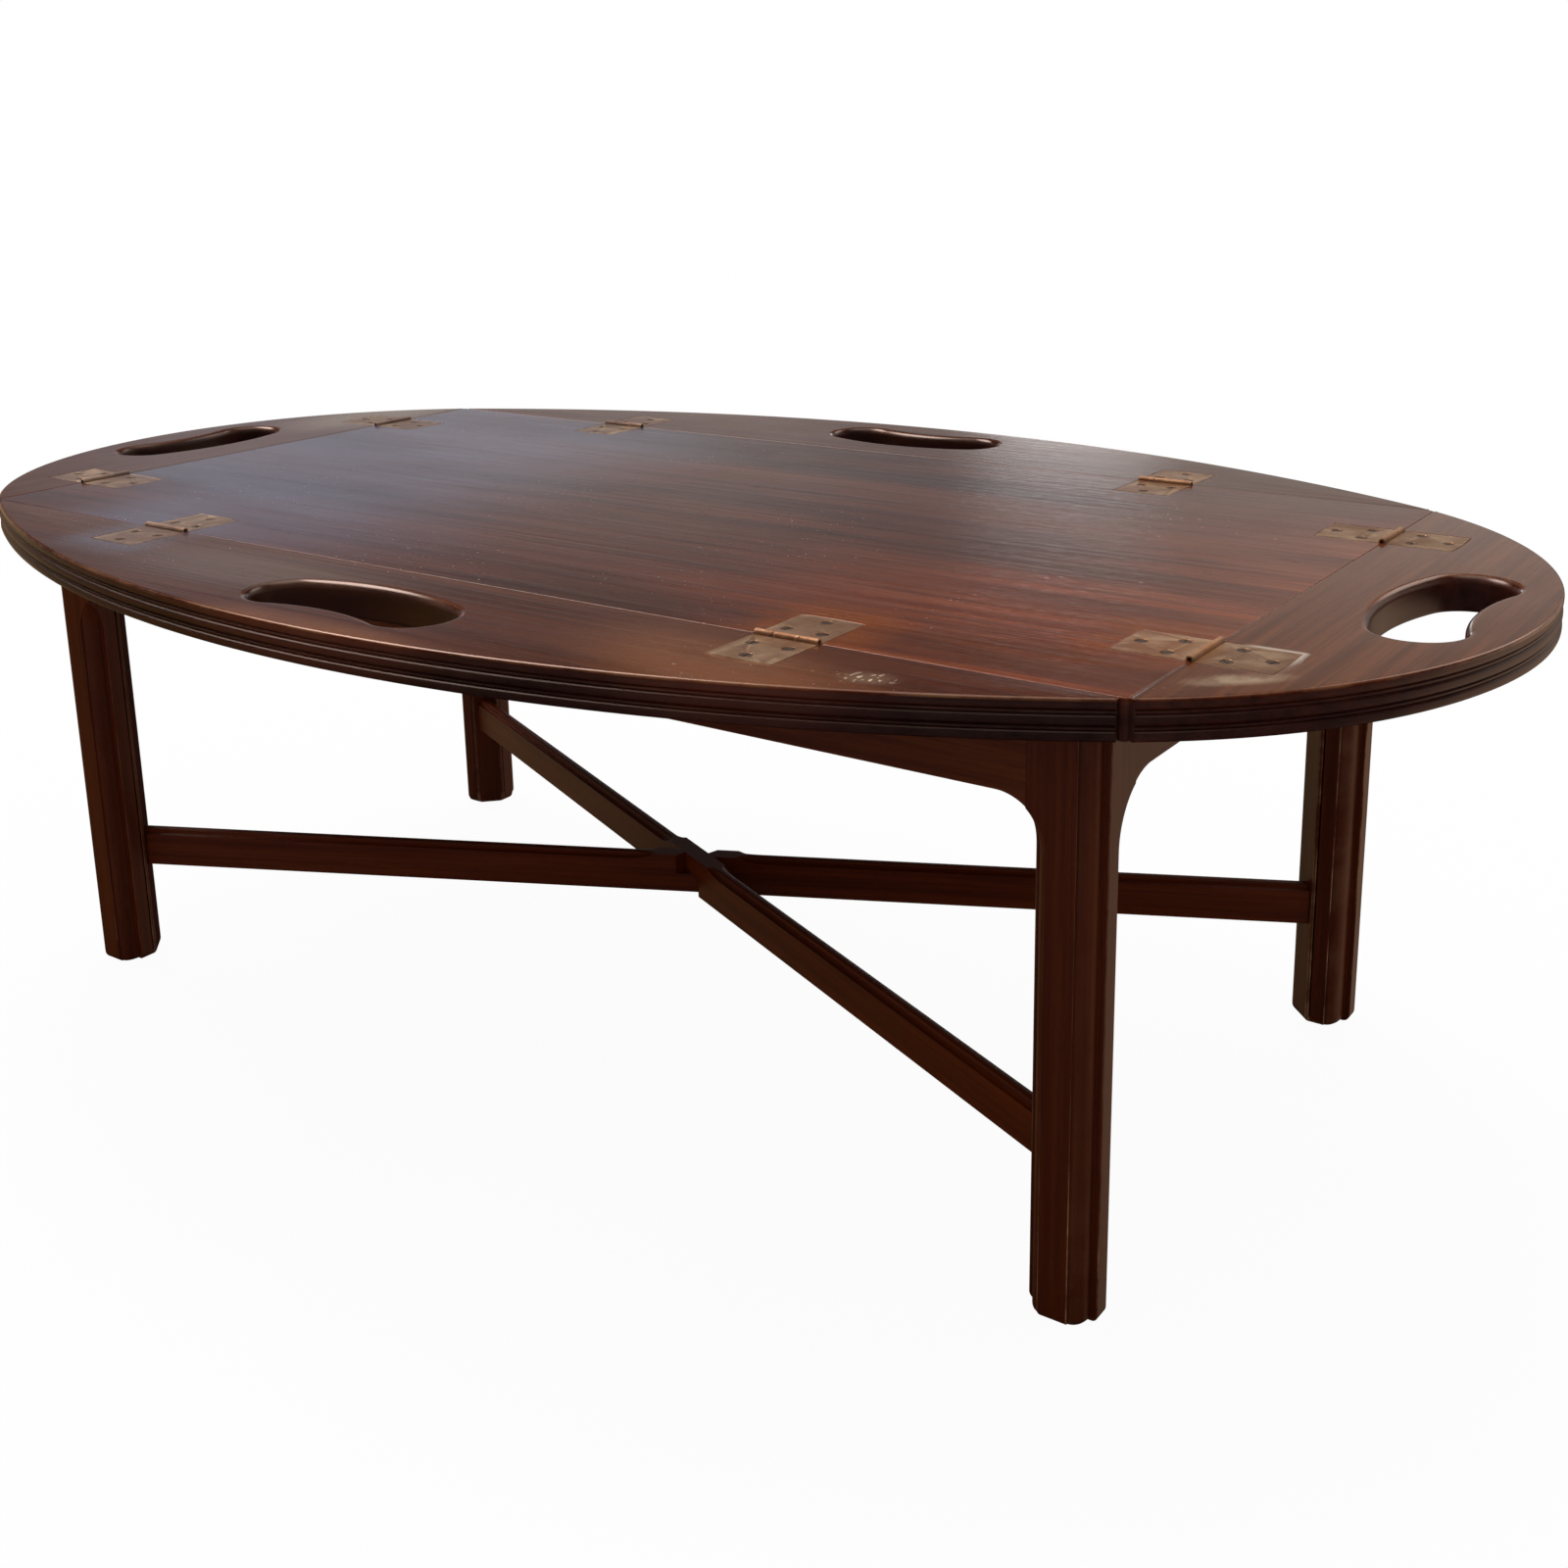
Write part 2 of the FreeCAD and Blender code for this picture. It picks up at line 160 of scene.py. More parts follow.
# Scratches: fine straight lines in three directions and small pale specks, gathered in patches
scratches, given, out = effect(
    "fine_scratches",
    [("Vector", "Vector", None), ("Float", "Amount", 1.0)],
    [("Float", "Mask")],
)
total = None
for turn, seed in ((0.35, 3.1), (1.15, 7.7), (2.3, 12.9)):
    place = {"Vector": given["Vector"], "Rotation": (0.0, 0.0, turn), "Location": (seed, seed, seed)}
    swung = put(scratches, "Mapping", place).outputs[0]
    hair = step(scratches, noise(scratches, swung, (14.0, 900.0, 14.0), detail=1.0), 0.70, 0.76)
    patch = step(scratches, noise(scratches, swung, (7.0, 11.0, 9.0), detail=2.0), 0.56, 0.70)
    kept = times(scratches, hair, patch)
    total = kept if total is None else sums(scratches, "MAXIMUM", total, kept)
specks = step(scratches, noise(scratches, given["Vector"], (280.0, 280.0, 280.0), detail=1.0), 0.745, 0.78)
patch = step(scratches, noise(scratches, given["Vector"], (5.0, 5.0, 5.0)), 0.5, 0.62)
specks = times(scratches, specks, patch)
total = times(scratches, total, given["Amount"])
scratches.links.new(sums(scratches, "MAXIMUM", total, specks), out["Mask"])

# Rubbed arrises: the wear stored on the mesh, broken up by noise
rubbed, given, out = effect(
    "rubbed_arrises",
    [("Vector", "Vector", None), ("Float", "Wear", 0.0), ("Float", "Amount", 1.0)],
    [("Float", "Mask")],
)
breaks = noise(rubbed, given["Vector"], (14.0, 14.0, 14.0), detail=6.0, rough=0.7)
reach = times(rubbed, given["Wear"], step(rubbed, breaks, 0.38, 0.66))
rubbed.links.new(times(rubbed, reach, given["Amount"]), out["Mask"])

# Handled lacquer: broad cloudy changes of gloss with small dull spots
cloudy, given, out = effect(
    "handled_lacquer",
    [("Vector", "Vector", None), ("Float", "Gloss", 0.3)],
    [("Float", "Roughness")],
)
clouds = noise(cloudy, given["Vector"], (5.0, 7.0, 6.0), detail=5.0, rough=0.6)
spots = step(cloudy, noise(cloudy, given["Vector"], (55.0, 55.0, 55.0), detail=2.0), 0.66, 0.76)
dull = sums(cloudy, "MULTIPLY_ADD", spots, 0.04, given["Gloss"])
uneven = sums(cloudy, "SUBTRACT", clouds, 0.5)
cloudy.links.new(sums(cloudy, "MULTIPLY_ADD", uneven, 0.168, dull), out["Roughness"])


def new_material(name):
    """An empty material with its node tree and its shader."""
    made = bpy.data.materials.new(name)
    made.use_nodes = True
    return made, made.node_tree, made.node_tree.nodes["Principled BSDF"]


def below_top(tree, place):
    """Depth of a point below the face of the top, in millimetres."""
    height = put(tree, "SeparateXYZ", {0: place}).outputs["Z"]
    return sums(tree, "MULTIPLY_ADD", height, -1000.0, top_height)


def worn_edges(tree, place, amount):
    """Mask of the rubbed arrises, from the wear stored on the mesh."""
    arris = put(tree, "Attribute", attribute_name="wear").outputs["Fac"]
    return put(tree, "Group", {"Vector": place, "Wear": arris, "Amount": amount}, node_tree=rubbed).outputs[0]


def mahogany(name, turn, deep, body, light, worn, gloss, wear, scuffs=0.0, side=None, tint=None, sheen=0.45):
    """Lacquered mahogany with its grain turned from X by three angles, in a deep, a body and a light tone,
    and rubbed to the worn tone on its arrises. A tint paints more wear in, scuffs stay on the flat top, and
    side is the darkening of everything below the top, where the lacquer is also duller."""
    material, tree, shader = new_material(name)
    place = put(tree, "TexCoord").outputs["Object"]
    along = put(tree, "Mapping", {"Vector": place, "Rotation": turn}).outputs[0]
    tones = {"Vector": along, "Deep": tone(*deep), "Body": tone(*body), "Light": tone(*light)}
    figure = put(tree, "Group", tones, node_tree=grain).outputs
    colour = figure["Color"] if tint is None else tint(tree, place, figure["Color"])
    relief = figure["Relief"]
    edge = worn_edges(tree, place, wear)
    rough = put(tree, "Group", {"Vector": place, "Gloss": gloss}, node_tree=cloudy).outputs[0]
    rough = sums(tree, "MULTIPLY_ADD", edge, 0.05, rough)
    if side is None:
        colour = blend(tree, edge, colour, tone(*worn))
    else:
        depth = below_top(tree, place)
        colour = blend(tree, step(tree, depth, 0.3, 1.6), colour, tone(*side), "MULTIPLY")
        colour = blend(tree, edge, colour, tone(*worn))
        colour = blend(tree, step(tree, depth, 6.0, 11.0), colour, tone(0.75, 0.60, 0.50), "MULTIPLY")
        rough = sums(tree, "MULTIPLY_ADD", step(tree, depth, 1.4, 3.2), 0.22, rough)
    if scuffs:
        hairs = put(tree, "Group", {"Vector": place, "Amount": scuffs}, node_tree=scratches).outputs[0]
        hairs = times(tree, hairs, step(tree, below_top(tree, place), 0.6, 0.2))
        colour = blend(tree, hairs, colour, tone(0.30, 0.20, 0.16))
        rough = sums(tree, "MULTIPLY_ADD", hairs, 0.25, rough)
        relief = sums(tree, "MULTIPLY_ADD", hairs, -0.3, relief)
    tree.links.new(colour, shader.inputs["Base Color"])
    tree.links.new(rough, shader.inputs["Roughness"])
    lift = put(tree, "Bump", {"Height": relief, "Strength": 0.09, "Distance": 0.0002}).outputs[0]
    tree.links.new(lift, shader.inputs["Normal"])
    shader.inputs["Specular IOR Level"].default_value = sheen
    return material


def strips(rings, wear):
    """Rings of points, shape (rings, points, 3), joined by quads into a tube; one wear value for each ring.
    Rings run anticlockwise seen from the side that the first ring faces."""
    count, around = rings.shape[:2]
    index = np.arange(count * around).reshape(count, around)
    ahead = np.roll(index, -1, axis=1)
    quads = np.stack([index[:-1], index[1:], ahead[1:], ahead[:-1]], axis=-1).reshape(-1, 4)
    values = np.broadcast_to(np.asarray(wear, float).reshape(count, -1), (count, around))
    return rings.reshape(-1, 3), quads, values.reshape(-1)


def cap(ring, wear=0.0):
    """One flat face on a ring."""
    return ring, np.arange(len(ring))[None], np.full(len(ring), wear)


def build(name, shells, material, body, stands_for=()):
    """Shells of points in millimetres merged into one named piece that rides on a CAD body."""
    points, faces, wear, start = [], [], [], 0
    for shell_points, shell_faces, shell_wear in shells:
        points.append(shell_points)
        wear.append(shell_wear)
        faces += (shell_faces + start).tolist()
        start += len(shell_points)
    mesh = bpy.data.meshes.new(name)
    mesh.from_pydata((np.concatenate(points) / 1000.0).tolist(), [], faces)
    worn = mesh.attributes.new("wear", "FLOAT", "POINT")
    worn.data.foreach_set("value", np.concatenate(wear).astype(np.float32))
    made = bpy.data.objects.new(name, mesh)
    bpy.context.collection.objects.link(made)
    solid = bmesh.new()
    solid.from_mesh(mesh)
    bmesh.ops.remove_doubles(solid, verts=solid.verts, dist=merge_metres)
    bmesh.ops.recalc_face_normals(solid, faces=solid.faces)
    solid.to_mesh(mesh)
    solid.free()
    made.data.polygons.foreach_set("use_smooth", np.ones(len(made.data.polygons), bool))
    made.data.set_sharp_from_angle(angle=math.radians(sharp_angle))
    even = made.modifiers.new("even_normals", "WEIGHTED_NORMAL")
    even.keep_sharp = True
    made.data.materials.append(material)
    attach(made, body)
    if stands_for:
        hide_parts(*stands_for)


def moulded_corner(share, corner, inward, wide_x, wide_y, backwards=False):
    """Corner of the leg at each height: from the y face a small step down, an oval round across the corner
    and a deep step up to the x face. Depths u and v are measured from the two faces: u = wide_x -
    (wide_x - side_step) sin t, v = wide_y - (wide_y - front_step) cos t. Where the moulding dies out, u and
    v shrink by its share of the width, so that its edges meet in an arch at the square corner. Gives the
    points, how far each may be eased, and how near it is to the crest that hands and feet rub."""
    t = np.linspace(0, math.pi / 2, 49)
    lobe_x = wide_x - (wide_x - side_step) * np.sin(t)
    lobe = np.column_stack([lobe_x, wide_y - (wide_y - front_step) * np.cos(t)])
    run = np.linspace(corner_flat, 0, 15)
    rise = np.linspace(0, 1, 12)[1:-1]
    still = np.zeros((len(rise) * 2 + len(t), 2))
    face_y = np.column_stack([wide_x + 0 * run, 0 * run])
    wall_y = np.column_stack([wide_x + 0 * rise, front_step * rise])
    wall_x = np.column_stack([side_step * (1 - rise), wide_y + 0 * rise])
    face_x = np.column_stack([0 * run, wide_y + 0 * run])
    line = np.concatenate([face_y, wall_y, lobe, wall_x, face_x])
    beyond = np.concatenate([np.column_stack([run, 0 * run]), still, np.column_stack([0 * run, run[::-1]])])
    soft = np.clip((1.9 - beyond.max(axis=1)) / 0.6, 0, 1)
    crest_index = len(run) - 0.5
    crest = np.clip(1.6 - 0.4 * np.abs(np.arange(len(line)) - crest_index), 0, 1)
    if backwards:
        line, beyond, soft, crest = line[::-1], beyond[::-1], soft[::-1], crest[::-1]
    depth = line * share[:, None, None] + beyond
    there = np.clip(share * 6, 0, 1)[:, None]
    return np.array(corner) + depth * inward, there * soft, there * crest


foot_rows = foot_radius * (1 - np.cos(np.linspace(0, math.pi / 2, 8)))
post_rows = np.linspace(30, 290, 10)
arch_rows = np.linspace(298, 354, 45)
leg_rows = np.concatenate([foot_rows, post_rows, arch_rows, [358.0, underside - 1.0, underside]])


def moulding_share(radius, overrun):
    """How much of the moulding's width is left at each row: it dies out along the bracket's own circle."""
    rise = np.clip(leg_rows - bracket_foot, 0, radius)
    return np.clip((overrun - radius + np.sqrt(radius**2 - rise**2)) / overrun, 0, 1)


def leg_shells(sign_x, sign_y, rubbed_height):
    """The leg's outline at each height: three moulded corners and the chamfer, with its arrises eased by five
    passes of a 1-2-1 mean, narrowed over the foot by a quarter round, and mirrored into its corner. Above the
    mouldings the corners stay square, where the rails' faces run on from the leg's."""
    w, c, m = leg_width, leg_chamfer, moulding_width
    end_share = moulding_share(end_bracket_radius, end_bracket_overrun)
    side_share = moulding_share(side_bracket_radius, side_bracket_overrun)
    corners = [
        moulded_corner(end_share, (w, 0.0), (-1, 1), m, end_bracket_overrun),
        moulded_corner(np.ones(len(leg_rows)), (w, w), (-1, -1), m, m, backwards=True),
        moulded_corner(side_share, (0.0, w), (1, -1), side_bracket_overrun, m),
    ]
    parts, softness, crests = [list(found) for found in zip(*corners)]
    chamfer = [(0.0, c + chamfer_flat), (0.0, c), (c, 0.0), (c + chamfer_flat, 0.0)]
    for start, end, count in zip(chamfer, chamfer[1:], (9, 40, 9)):
        t = np.linspace(0, 1, count)[:-1, None]
        line = np.array(start) + t * (np.array(end) - np.array(start))
        parts.append(np.broadcast_to(line, (len(leg_rows),) + line.shape))
        softness.append(np.ones((len(leg_rows), len(line))))
        crests.append(np.zeros((len(leg_rows), len(line))))
    # The far ends of the flats beside the chamfer aren't eased, so they meet the corners' own lines
    softness[3][:, 0] = 0
    softness[5][:, -1] = 0
    outline = np.concatenate(parts, axis=1)
    eased = outline
    for _ in range(5):
        eased = (np.roll(eased, 1, axis=1) + 2 * eased + np.roll(eased, -1, axis=1)) / 4
    eased = outline + (eased - outline) * np.concatenate(softness, axis=1)[..., None]
    bend = np.linalg.norm(outline - eased, axis=-1)
    middle = w / 2
    inward = np.sum((eased - outline) * (middle - outline), axis=-1) > 0
    inset = foot_radius - np.sqrt(np.maximum(foot_radius**2 - np.maximum(foot_radius - leg_rows, 0) ** 2, 0))
    eased = middle + (eased - middle) * (1 - inset / middle)[:, None, None]
    x = sign_x * (leg_outer_x - w + eased[..., 0])
    y = sign_y * (leg_outer_y - w + eased[..., 1])
    rings = np.stack([x, y, np.broadcast_to(leg_rows[:, None], x.shape)], axis=-1)
    low = (0.3 + 0.7 * np.clip((rubbed_height - leg_rows) / rub_fade, 0, 1))[:, None]
    scuffed_foot = 0.5 * np.clip(1 - leg_rows / kick_height, 0, 1)[:, None]
    rubbed_rows = np.clip((rubbed_height - leg_rows) / crest_fade, 0, 1)[:, None]
    rubbed_line = np.concatenate(crests, axis=1) * rubbed_rows
    wear = np.maximum(np.clip(bend * 4.0, 0, 1) * inward * low + scuffed_foot, rubbed_line)
    return [strips(rings, np.clip(wear, 0, 1)), cap(rings[-1]), cap(rings[0], 0.5)]


upright = (0.0, math.radians(90), 0.0)
leg_finish = mahogany("leg_mahogany", upright, (0.028, 0.0030, 0.0002), (0.062, 0.0090, 0.0004),
                      (0.080, 0.014, 0.0008), (0.36, 0.19, 0.10), 0.36, wear=0.9, sheen=0.14)
# Each leg's corner of the table, and how high its crest is rubbed pale
legs = {"leg_back_right": (1, 1, 330.0), "leg_back_left": (-1, 1, 60.0),
        "leg_front_right": (1, -1, 120.0), "leg_front_left": (-1, -1, 70.0)}
for node, (sign_x, sign_y, rubbed_height) in legs.items():
    build(f"moulded_{node}", leg_shells(sign_x, sign_y, rubbed_height), leg_finish, "stand", [node])

# Rails. Four mahogany boards tenoned between the legs, flush with their outer faces. Each end drops in a
# short curved bracket that meets the stop of the leg's moulding.

rail_thickness = 20.0
side_rail_depth = 54.0
end_rail_depth = 45.0
rail_arris = 1.6


def rail_shells(half_length, depth, overrun, outer, sign, lengthways):
    """An oblong section with four quarter rounds carried along the rail. Its lower edge is straight as far as
    the bend, and past it follows the bracket's circle: foot + root of (radius squared - way past squared)."""
    top = underside - depth
    radius = top - bracket_foot
    bend = half_length + overrun - radius
    end = half_length - 0.1
    curve = bend + radius * np.sin(np.linspace(0, math.asin((end - bend) / radius), 22))
    along = np.concatenate([-curve[::-1], np.linspace(-bend, bend, 9)[1:-1], curve])
    low = np.where(np.abs(along) > bend,
                   bracket_foot + np.sqrt(radius**2 - np.maximum(np.abs(along) - bend, 0) ** 2), top)
    turn = np.radians(np.linspace(0, 90, 6))
    section = []
    for (side_y, side_z), first in (((1, 1), 0), ((-1, 1), 90), ((-1, -1), 180), ((1, -1), 270)):
        angle = turn + np.radians(first)
        sides = np.full((6, 2), (side_y, side_z))
        section.append(np.column_stack([sides, np.cos(angle), np.sin(angle)]))
    section = np.concatenate(section)
    half = rail_thickness / 2 - rail_arris
    across = outer - rail_thickness / 2 + section[:, 0] * half + section[:, 2] * rail_arris
    height = np.where(section[:, 1] > 0, underside - rail_arris, low[:, None] + rail_arris)
    height = height + section[:, 3] * rail_arris
    x = np.broadcast_to(along[:, None], height.shape)
    y = np.broadcast_to(sign * across[None, :], height.shape)
    rings = np.stack([x, y, height] if lengthways else [y, x, height], axis=-1)
    lower_arris = (section[:, 1] < 0) & (np.abs(section[:, 3]) > 0.2) & (np.abs(section[:, 2]) > 0.2)
    wear = np.broadcast_to(lower_arris * 1.0, height.shape)
    return [strips(rings, wear), cap(rings[0]), cap(rings[-1])]


lengthwise = (0.0, 0.0, 0.0)
crosswise = (0.0, 0.0, math.radians(90))
rail_tones = ((0.030, 0.0034, 0.0003), (0.074, 0.012, 0.0006), (0.100, 0.020, 0.0012), (0.16, 0.06, 0.025))
rail_finish_long = mahogany("rail_mahogany_long", lengthwise, *rail_tones, 0.38, wear=0.4, sheen=0.14)
rail_finish_short = mahogany("rail_mahogany_short", crosswise, *rail_tones, 0.38, wear=0.4, sheen=0.14)
inner_x = leg_outer_x - leg_width
inner_y = leg_outer_y - leg_width
for name, sign in (("back", 1), ("front", -1)):
    shells = rail_shells(inner_x, side_rail_depth, side_bracket_overrun, leg_outer_y, sign, True)
    build(f"bracketed_rail_{name}", shells, rail_finish_long, "stand", [f"rail_{name}"])
for name, sign in (("right", 1), ("left", -1)):
    shells = rail_shells(inner_y, end_rail_depth, end_bracket_overrun, leg_outer_x, sign, False)
    build(f"bracketed_rail_{name}", shells, rail_finish_short, "stand", [f"rail_{name}"])

# Corner blocks and cleats. Plain dark-stained blocks glued in the corners of the frame, and four cleats
# screwed under the tray; they are left sawn and thinly stained, so they keep the plain CAD shape.

stained = mahogany("stained_underside", lengthwise, (0.03, 0.010, 0.006), (0.075, 0.028, 0.014),
                   (0.11, 0.045, 0.022), (0.2, 0.1, 0.05), 0.62, wear=0.0)
for name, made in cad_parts.items():
    if name.startswith(("corner_block", "cleat")):
        made.data.materials.clear()
        made.data.materials.append(stained)

# Stretchers. Two mahogany bars on the diagonals, halved over each other. Each upper edge is coved so that
# a rounded bead stands along the top; the coves lift out before the crossing.

bar_top = 121.5
bar_height = 34.0
bar_width = 16.0
cove_radius = 4.75
plain_half = 36.0
cove_runout = 22.0
bead_crown = 0.9
lap_gap = 0.1
shoulder_gap = 0.15
target_x = inner_x + leg_chamfer / 2
target_y = inner_y + leg_chamfer / 2
bar_turn = math.atan2(target_y, target_x)
bar_reach = math.hypot(target_x, target_y)


def turned(points, angle):
    """Points turned about the upright axis."""
    c, s = math.cos(angle), math.sin(angle)
    x, y = points[..., 0], points[..., 1]
    return np.concatenate([np.stack([c * x - s * y, s * x + c * y], axis=-1), points[..., 2:]], axis=-1)


def bar_section(along):
    """The bar's section at each station as widths and heights: a bead rounded by its crown, a quarter-round
    cove on either side, and a rounded foot. Towards the crossing the cove's centre rises along the arc of the
    run-out, until the cove is gone and the top is flat."""
    half, low = bar_width / 2, bar_top - bar_height
    sweep = (cove_runout**2 + cove_radius**2) / (2 * cove_radius)
    gone = np.clip(plain_half + cove_runout - along, 0, cove_runout)
    lift = np.minimum(sweep - np.sqrt(sweep**2 - gone**2), cove_radius - 0.02)[:, None]
    start = np.arcsin(lift / cove_radius)
    angle = start + (math.pi / 2 - start) * np.linspace(0, 1, 9)
    crown = bead_crown * (1 - lift / cove_radius)
    cove_y = half - cove_radius * np.cos(angle)
    cove_z = bar_top + lift - cove_radius * np.sin(angle)
    cove_z = np.minimum(cove_z, bar_top - crown * np.clip(1 - np.arange(9) / 3.0, 0, 1))
    round_angle = np.linspace(0, math.pi / 2, 8)[:-1]
    bead_y = cove_y[:, :1] * np.sin(round_angle)
    bead_z = bar_top - crown * (1 - np.cos(round_angle))
    foot = np.array([(half, low + 1.2), (half - 0.35, low + 0.35), (half - 1.2, low)])
    foot = np.broadcast_to(foot, (len(along), 3, 2))
    y = np.concatenate([bead_y, cove_y, foot[..., 0]], axis=1)
    z = np.concatenate([bead_z, cove_z, foot[..., 1]], axis=1)
    return np.concatenate([y, -y[:, :0:-1]], axis=1), np.concatenate([z, z[:, :0:-1]], axis=1)


def bar_shells(turn, over):
    """The section carried along each half of the bar. The first station is sheared to lie along the crossing
    bar and the last along the leg's chamfer; between the halves only the upper or lower lap runs on."""
    cot = 1 / math.tan(2 * bar_turn)
    cross = bar_width / 2 / math.sin(2 * bar_turn) + lap_gap
    runout = np.linspace(plain_half, plain_half + cove_runout, 14)
    outer = np.linspace(plain_half + cove_runout + 20, bar_reach - 8, 10)
    along = np.concatenate([[cross], runout, outer, [bar_reach - shoulder_gap]])
    shear = np.concatenate([[cot], np.zeros(len(runout) + len(outer)), [-math.tan(math.pi / 4 - bar_turn)]])
    y, z = bar_section(along)
    arm = np.stack([along[:, None] + shear[:, None] * y, y, z], axis=-1)
    lap = bar_top - bar_height / 2 + (lap_gap / 2 if over else -lap_gap / 2)
    wall = arm[:1].copy()
    wall[..., 2] = np.maximum(wall[..., 2], lap) if over else np.minimum(wall[..., 2], lap)
    middle = wall.copy()
    middle[..., 0] = cot * middle[..., 1]
    half_bar = np.concatenate([middle, wall, arm])
    half_bar[..., 1] *= 1.0 if turn > 0 else -1.0
    crest = np.zeros(half_bar.shape[1])
    crest[[7, 8, -7, -8]] = 0.8
    shells = []
    for angle in (turn, turn + math.pi):
        rings = turned(half_bar, angle)
        shells += [strips(rings, np.tile(crest, (len(rings), 1))), cap(rings[-1])]
    return shells


bar_tones = ((0.034, 0.0036, 0.0003), (0.084, 0.0115, 0.0006), (0.105, 0.018, 0.0012), (0.16, 0.06, 0.025))
for node, turn, over in (("stretcher_upper", -bar_turn, True), ("stretcher_lower", bar_turn, False)):
    finish = mahogany(f"{node}_mahogany", (0.0, 0.0, -turn), *bar_tones, 0.38, wear=0.4, sheen=0.14)
    build(f"coved_{node}", bar_shells(turn, over), finish, "stand", [node])

# Tray panel. A flat mahogany board with its corners nipped off. Shallow beds are cut in its top for the
# eight hinge plates.

panel_length = 1060.0
panel_width = 564.0
corner_cut = 2.0
panel_arris = 0.6
seam_gap = 0.3
plate_half = 24.0
plate_shoulder = 50.5
plate_tip = 51.5
plate_thickness = 2.0
bed_margin = 0.35
side_hinge = 301.57
end_hinge = 175.40
plate_near = 2.0
bed_near = 1.6


def inset_path(path, inset):
    """The path moved into the wood on its left by the inset, with mitred corners."""
    edge = np.roll(path, -1, axis=0) - path
    edge /= np.linalg.norm(edge, axis=1)[:, None]
    normal = np.stack([-edge[:, 1], edge[:, 0]], axis=1)
    before = np.roll(normal, 1, axis=0)
    mitre = (normal + before) / (1 + (normal * before).sum(axis=1))[:, None]
    return path + mitre * np.broadcast_to(inset, len(path))[:, None]


def at_height(points, height):
    """Points of a plan set at a height."""
    return np.column_stack([points, np.full(len(points), height)])


def lipped(path, profile):
    """A profile of (inset, drop below the top, wear) carried along a path; insets may differ along it."""
    rings = [at_height(inset_path(path, inset), top_height - drop) for inset, drop, _ in profile]
    return np.stack(rings), [wear for _, _, wear in profile]


def within(points, loop):
    """Which points lie inside a loop, by counting the loop's edges to their right."""
    x, y = points[:, :1], points[:, 1:]
    x0, y0 = loop[:, 0], loop[:, 1]
    x1, y1 = np.roll(x0, -1), np.roll(y0, -1)
    spans = (y0 > y) != (y1 > y)
    crossing = (x1 - x0) * (y - y0) / np.where(y1 == y0, 1e-9, y1 - y0) + x0
    return (spans & (x < crossing)).sum(axis=1) % 2 == 1


def flat(loops, height):
    """The flat face between an outer loop and the loops of its holes, as triangles."""
    points = np.concatenate(loops)
    edges, start = [], 0
    for loop in loops:
        index = np.arange(len(loop)) + start
        edges += np.column_stack([index, np.roll(index, -1)]).tolist()
        start += len(loop)
    made = geometry.delaunay_2d_cdt(points.tolist(), edges, [], 0, 1e-6)
    corners = np.array([tuple(p) for p in made[0]])
    faces = np.array(made[2])
    middle = corners[faces].mean(axis=1)
    kept = within(middle, loops[0])
    for hole in loops[1:]:
        kept &= ~within(middle, hole)
    return at_height(corners, height), faces[kept], np.zeros(len(corners))


def plate_outline(margin, near, overcut=(0.0, 0.0)):
    """Plate seen from above with its pin along x, clockwise: square at the pin, and bowed at its outer end by
    an arc through both shoulders and the tip."""
    half = plate_half + margin
    shoulder, tip = plate_shoulder + margin + overcut[0], plate_tip + margin + overcut[1]
    rise = tip - shoulder
    radius = (half**2 + rise**2) / (2 * rise)
    swing = np.linspace(-math.asin(half / radius), math.asin(half / radius), 17)
    bow = np.column_stack([radius * np.sin(swing), tip - radius + radius * np.cos(swing)])
    return np.concatenate([[[-half, near]], bow, [[half, near]]])


def at_seam(points, seam_turn, distance, offset=0.0):
    """Points made round a hinge's middle moved along the seam and out to it, then turned to its side."""
    moved = points.copy()
    moved[..., 0] += offset
    moved[..., 1] += distance
    return turned(moved, seam_turn)


bed_floor = plate_thickness + 0.1
bed_profile = [(0.9, 0.0, 0.0), (0.45, 0.1, 0.1), (0.15, 0.4, 0.1), (0.0, 0.9, 0.0), (0.0, bed_floor, 0.0)]
# Each seam's turn, its distance from the middle, and its hinges' distance from the seam's middle
side_seam = panel_width / 2 + seam_gap / 2
end_seam = panel_length / 2 + seam_gap / 2
seams = {
    "back": (0.0, side_seam, side_hinge),
    "left": (math.pi / 2, end_seam, end_hinge),
    "front": (math.pi, side_seam, side_hinge),
    "right": (-math.pi / 2, end_seam, end_hinge),
}


def rounded(radius, wear, steps=6):
    """A quarter round from the top's face down an edge: (inset, drop, wear), worn most half way round."""
    turn = np.linspace(0, math.pi / 2, steps)
    return [(radius * (1 - math.sin(a)), radius * (1 - math.cos(a)), wear * math.sin(2 * a)) for a in turn]


def plain_arris(radius):
    """A square board edge with both arrises rounded: (inset, drop, wear)."""
    upper = rounded(radius, 0.15)
    return upper + [(inset, board_thickness - drop, 0.5 * wear) for inset, drop, wear in upper[::-1]]


def panel_shells():
    """Arris profile round the outline, beds of the plates let into the top."""
    x, y, c = panel_length / 2, panel_width / 2, corner_cut
    half = np.array([(x, c - y), (x, y - c), (x - c, y), (c - x, y)])
    rim, wear = lipped(np.concatenate([half, -half]), plain_arris(panel_arris))
    shells = [strips(rim, wear)]
    holes = []
    for turn, distance, offset in seams.values():
        for side in (-1, 1):
            bed = plate_outline(bed_margin, bed_near)
            bed = at_seam(bed * (-1, -1), turn, distance, side * offset)
            rings, wear = lipped(bed, bed_profile)
            holes.append(rings[0][:, :2])
            shells += [strips(rings, wear), cap(rings[-1], 1.0)]
    shells += [flat([rim[0][:, :2]] + holes, top_height), cap(rim[-1])]
    return shells


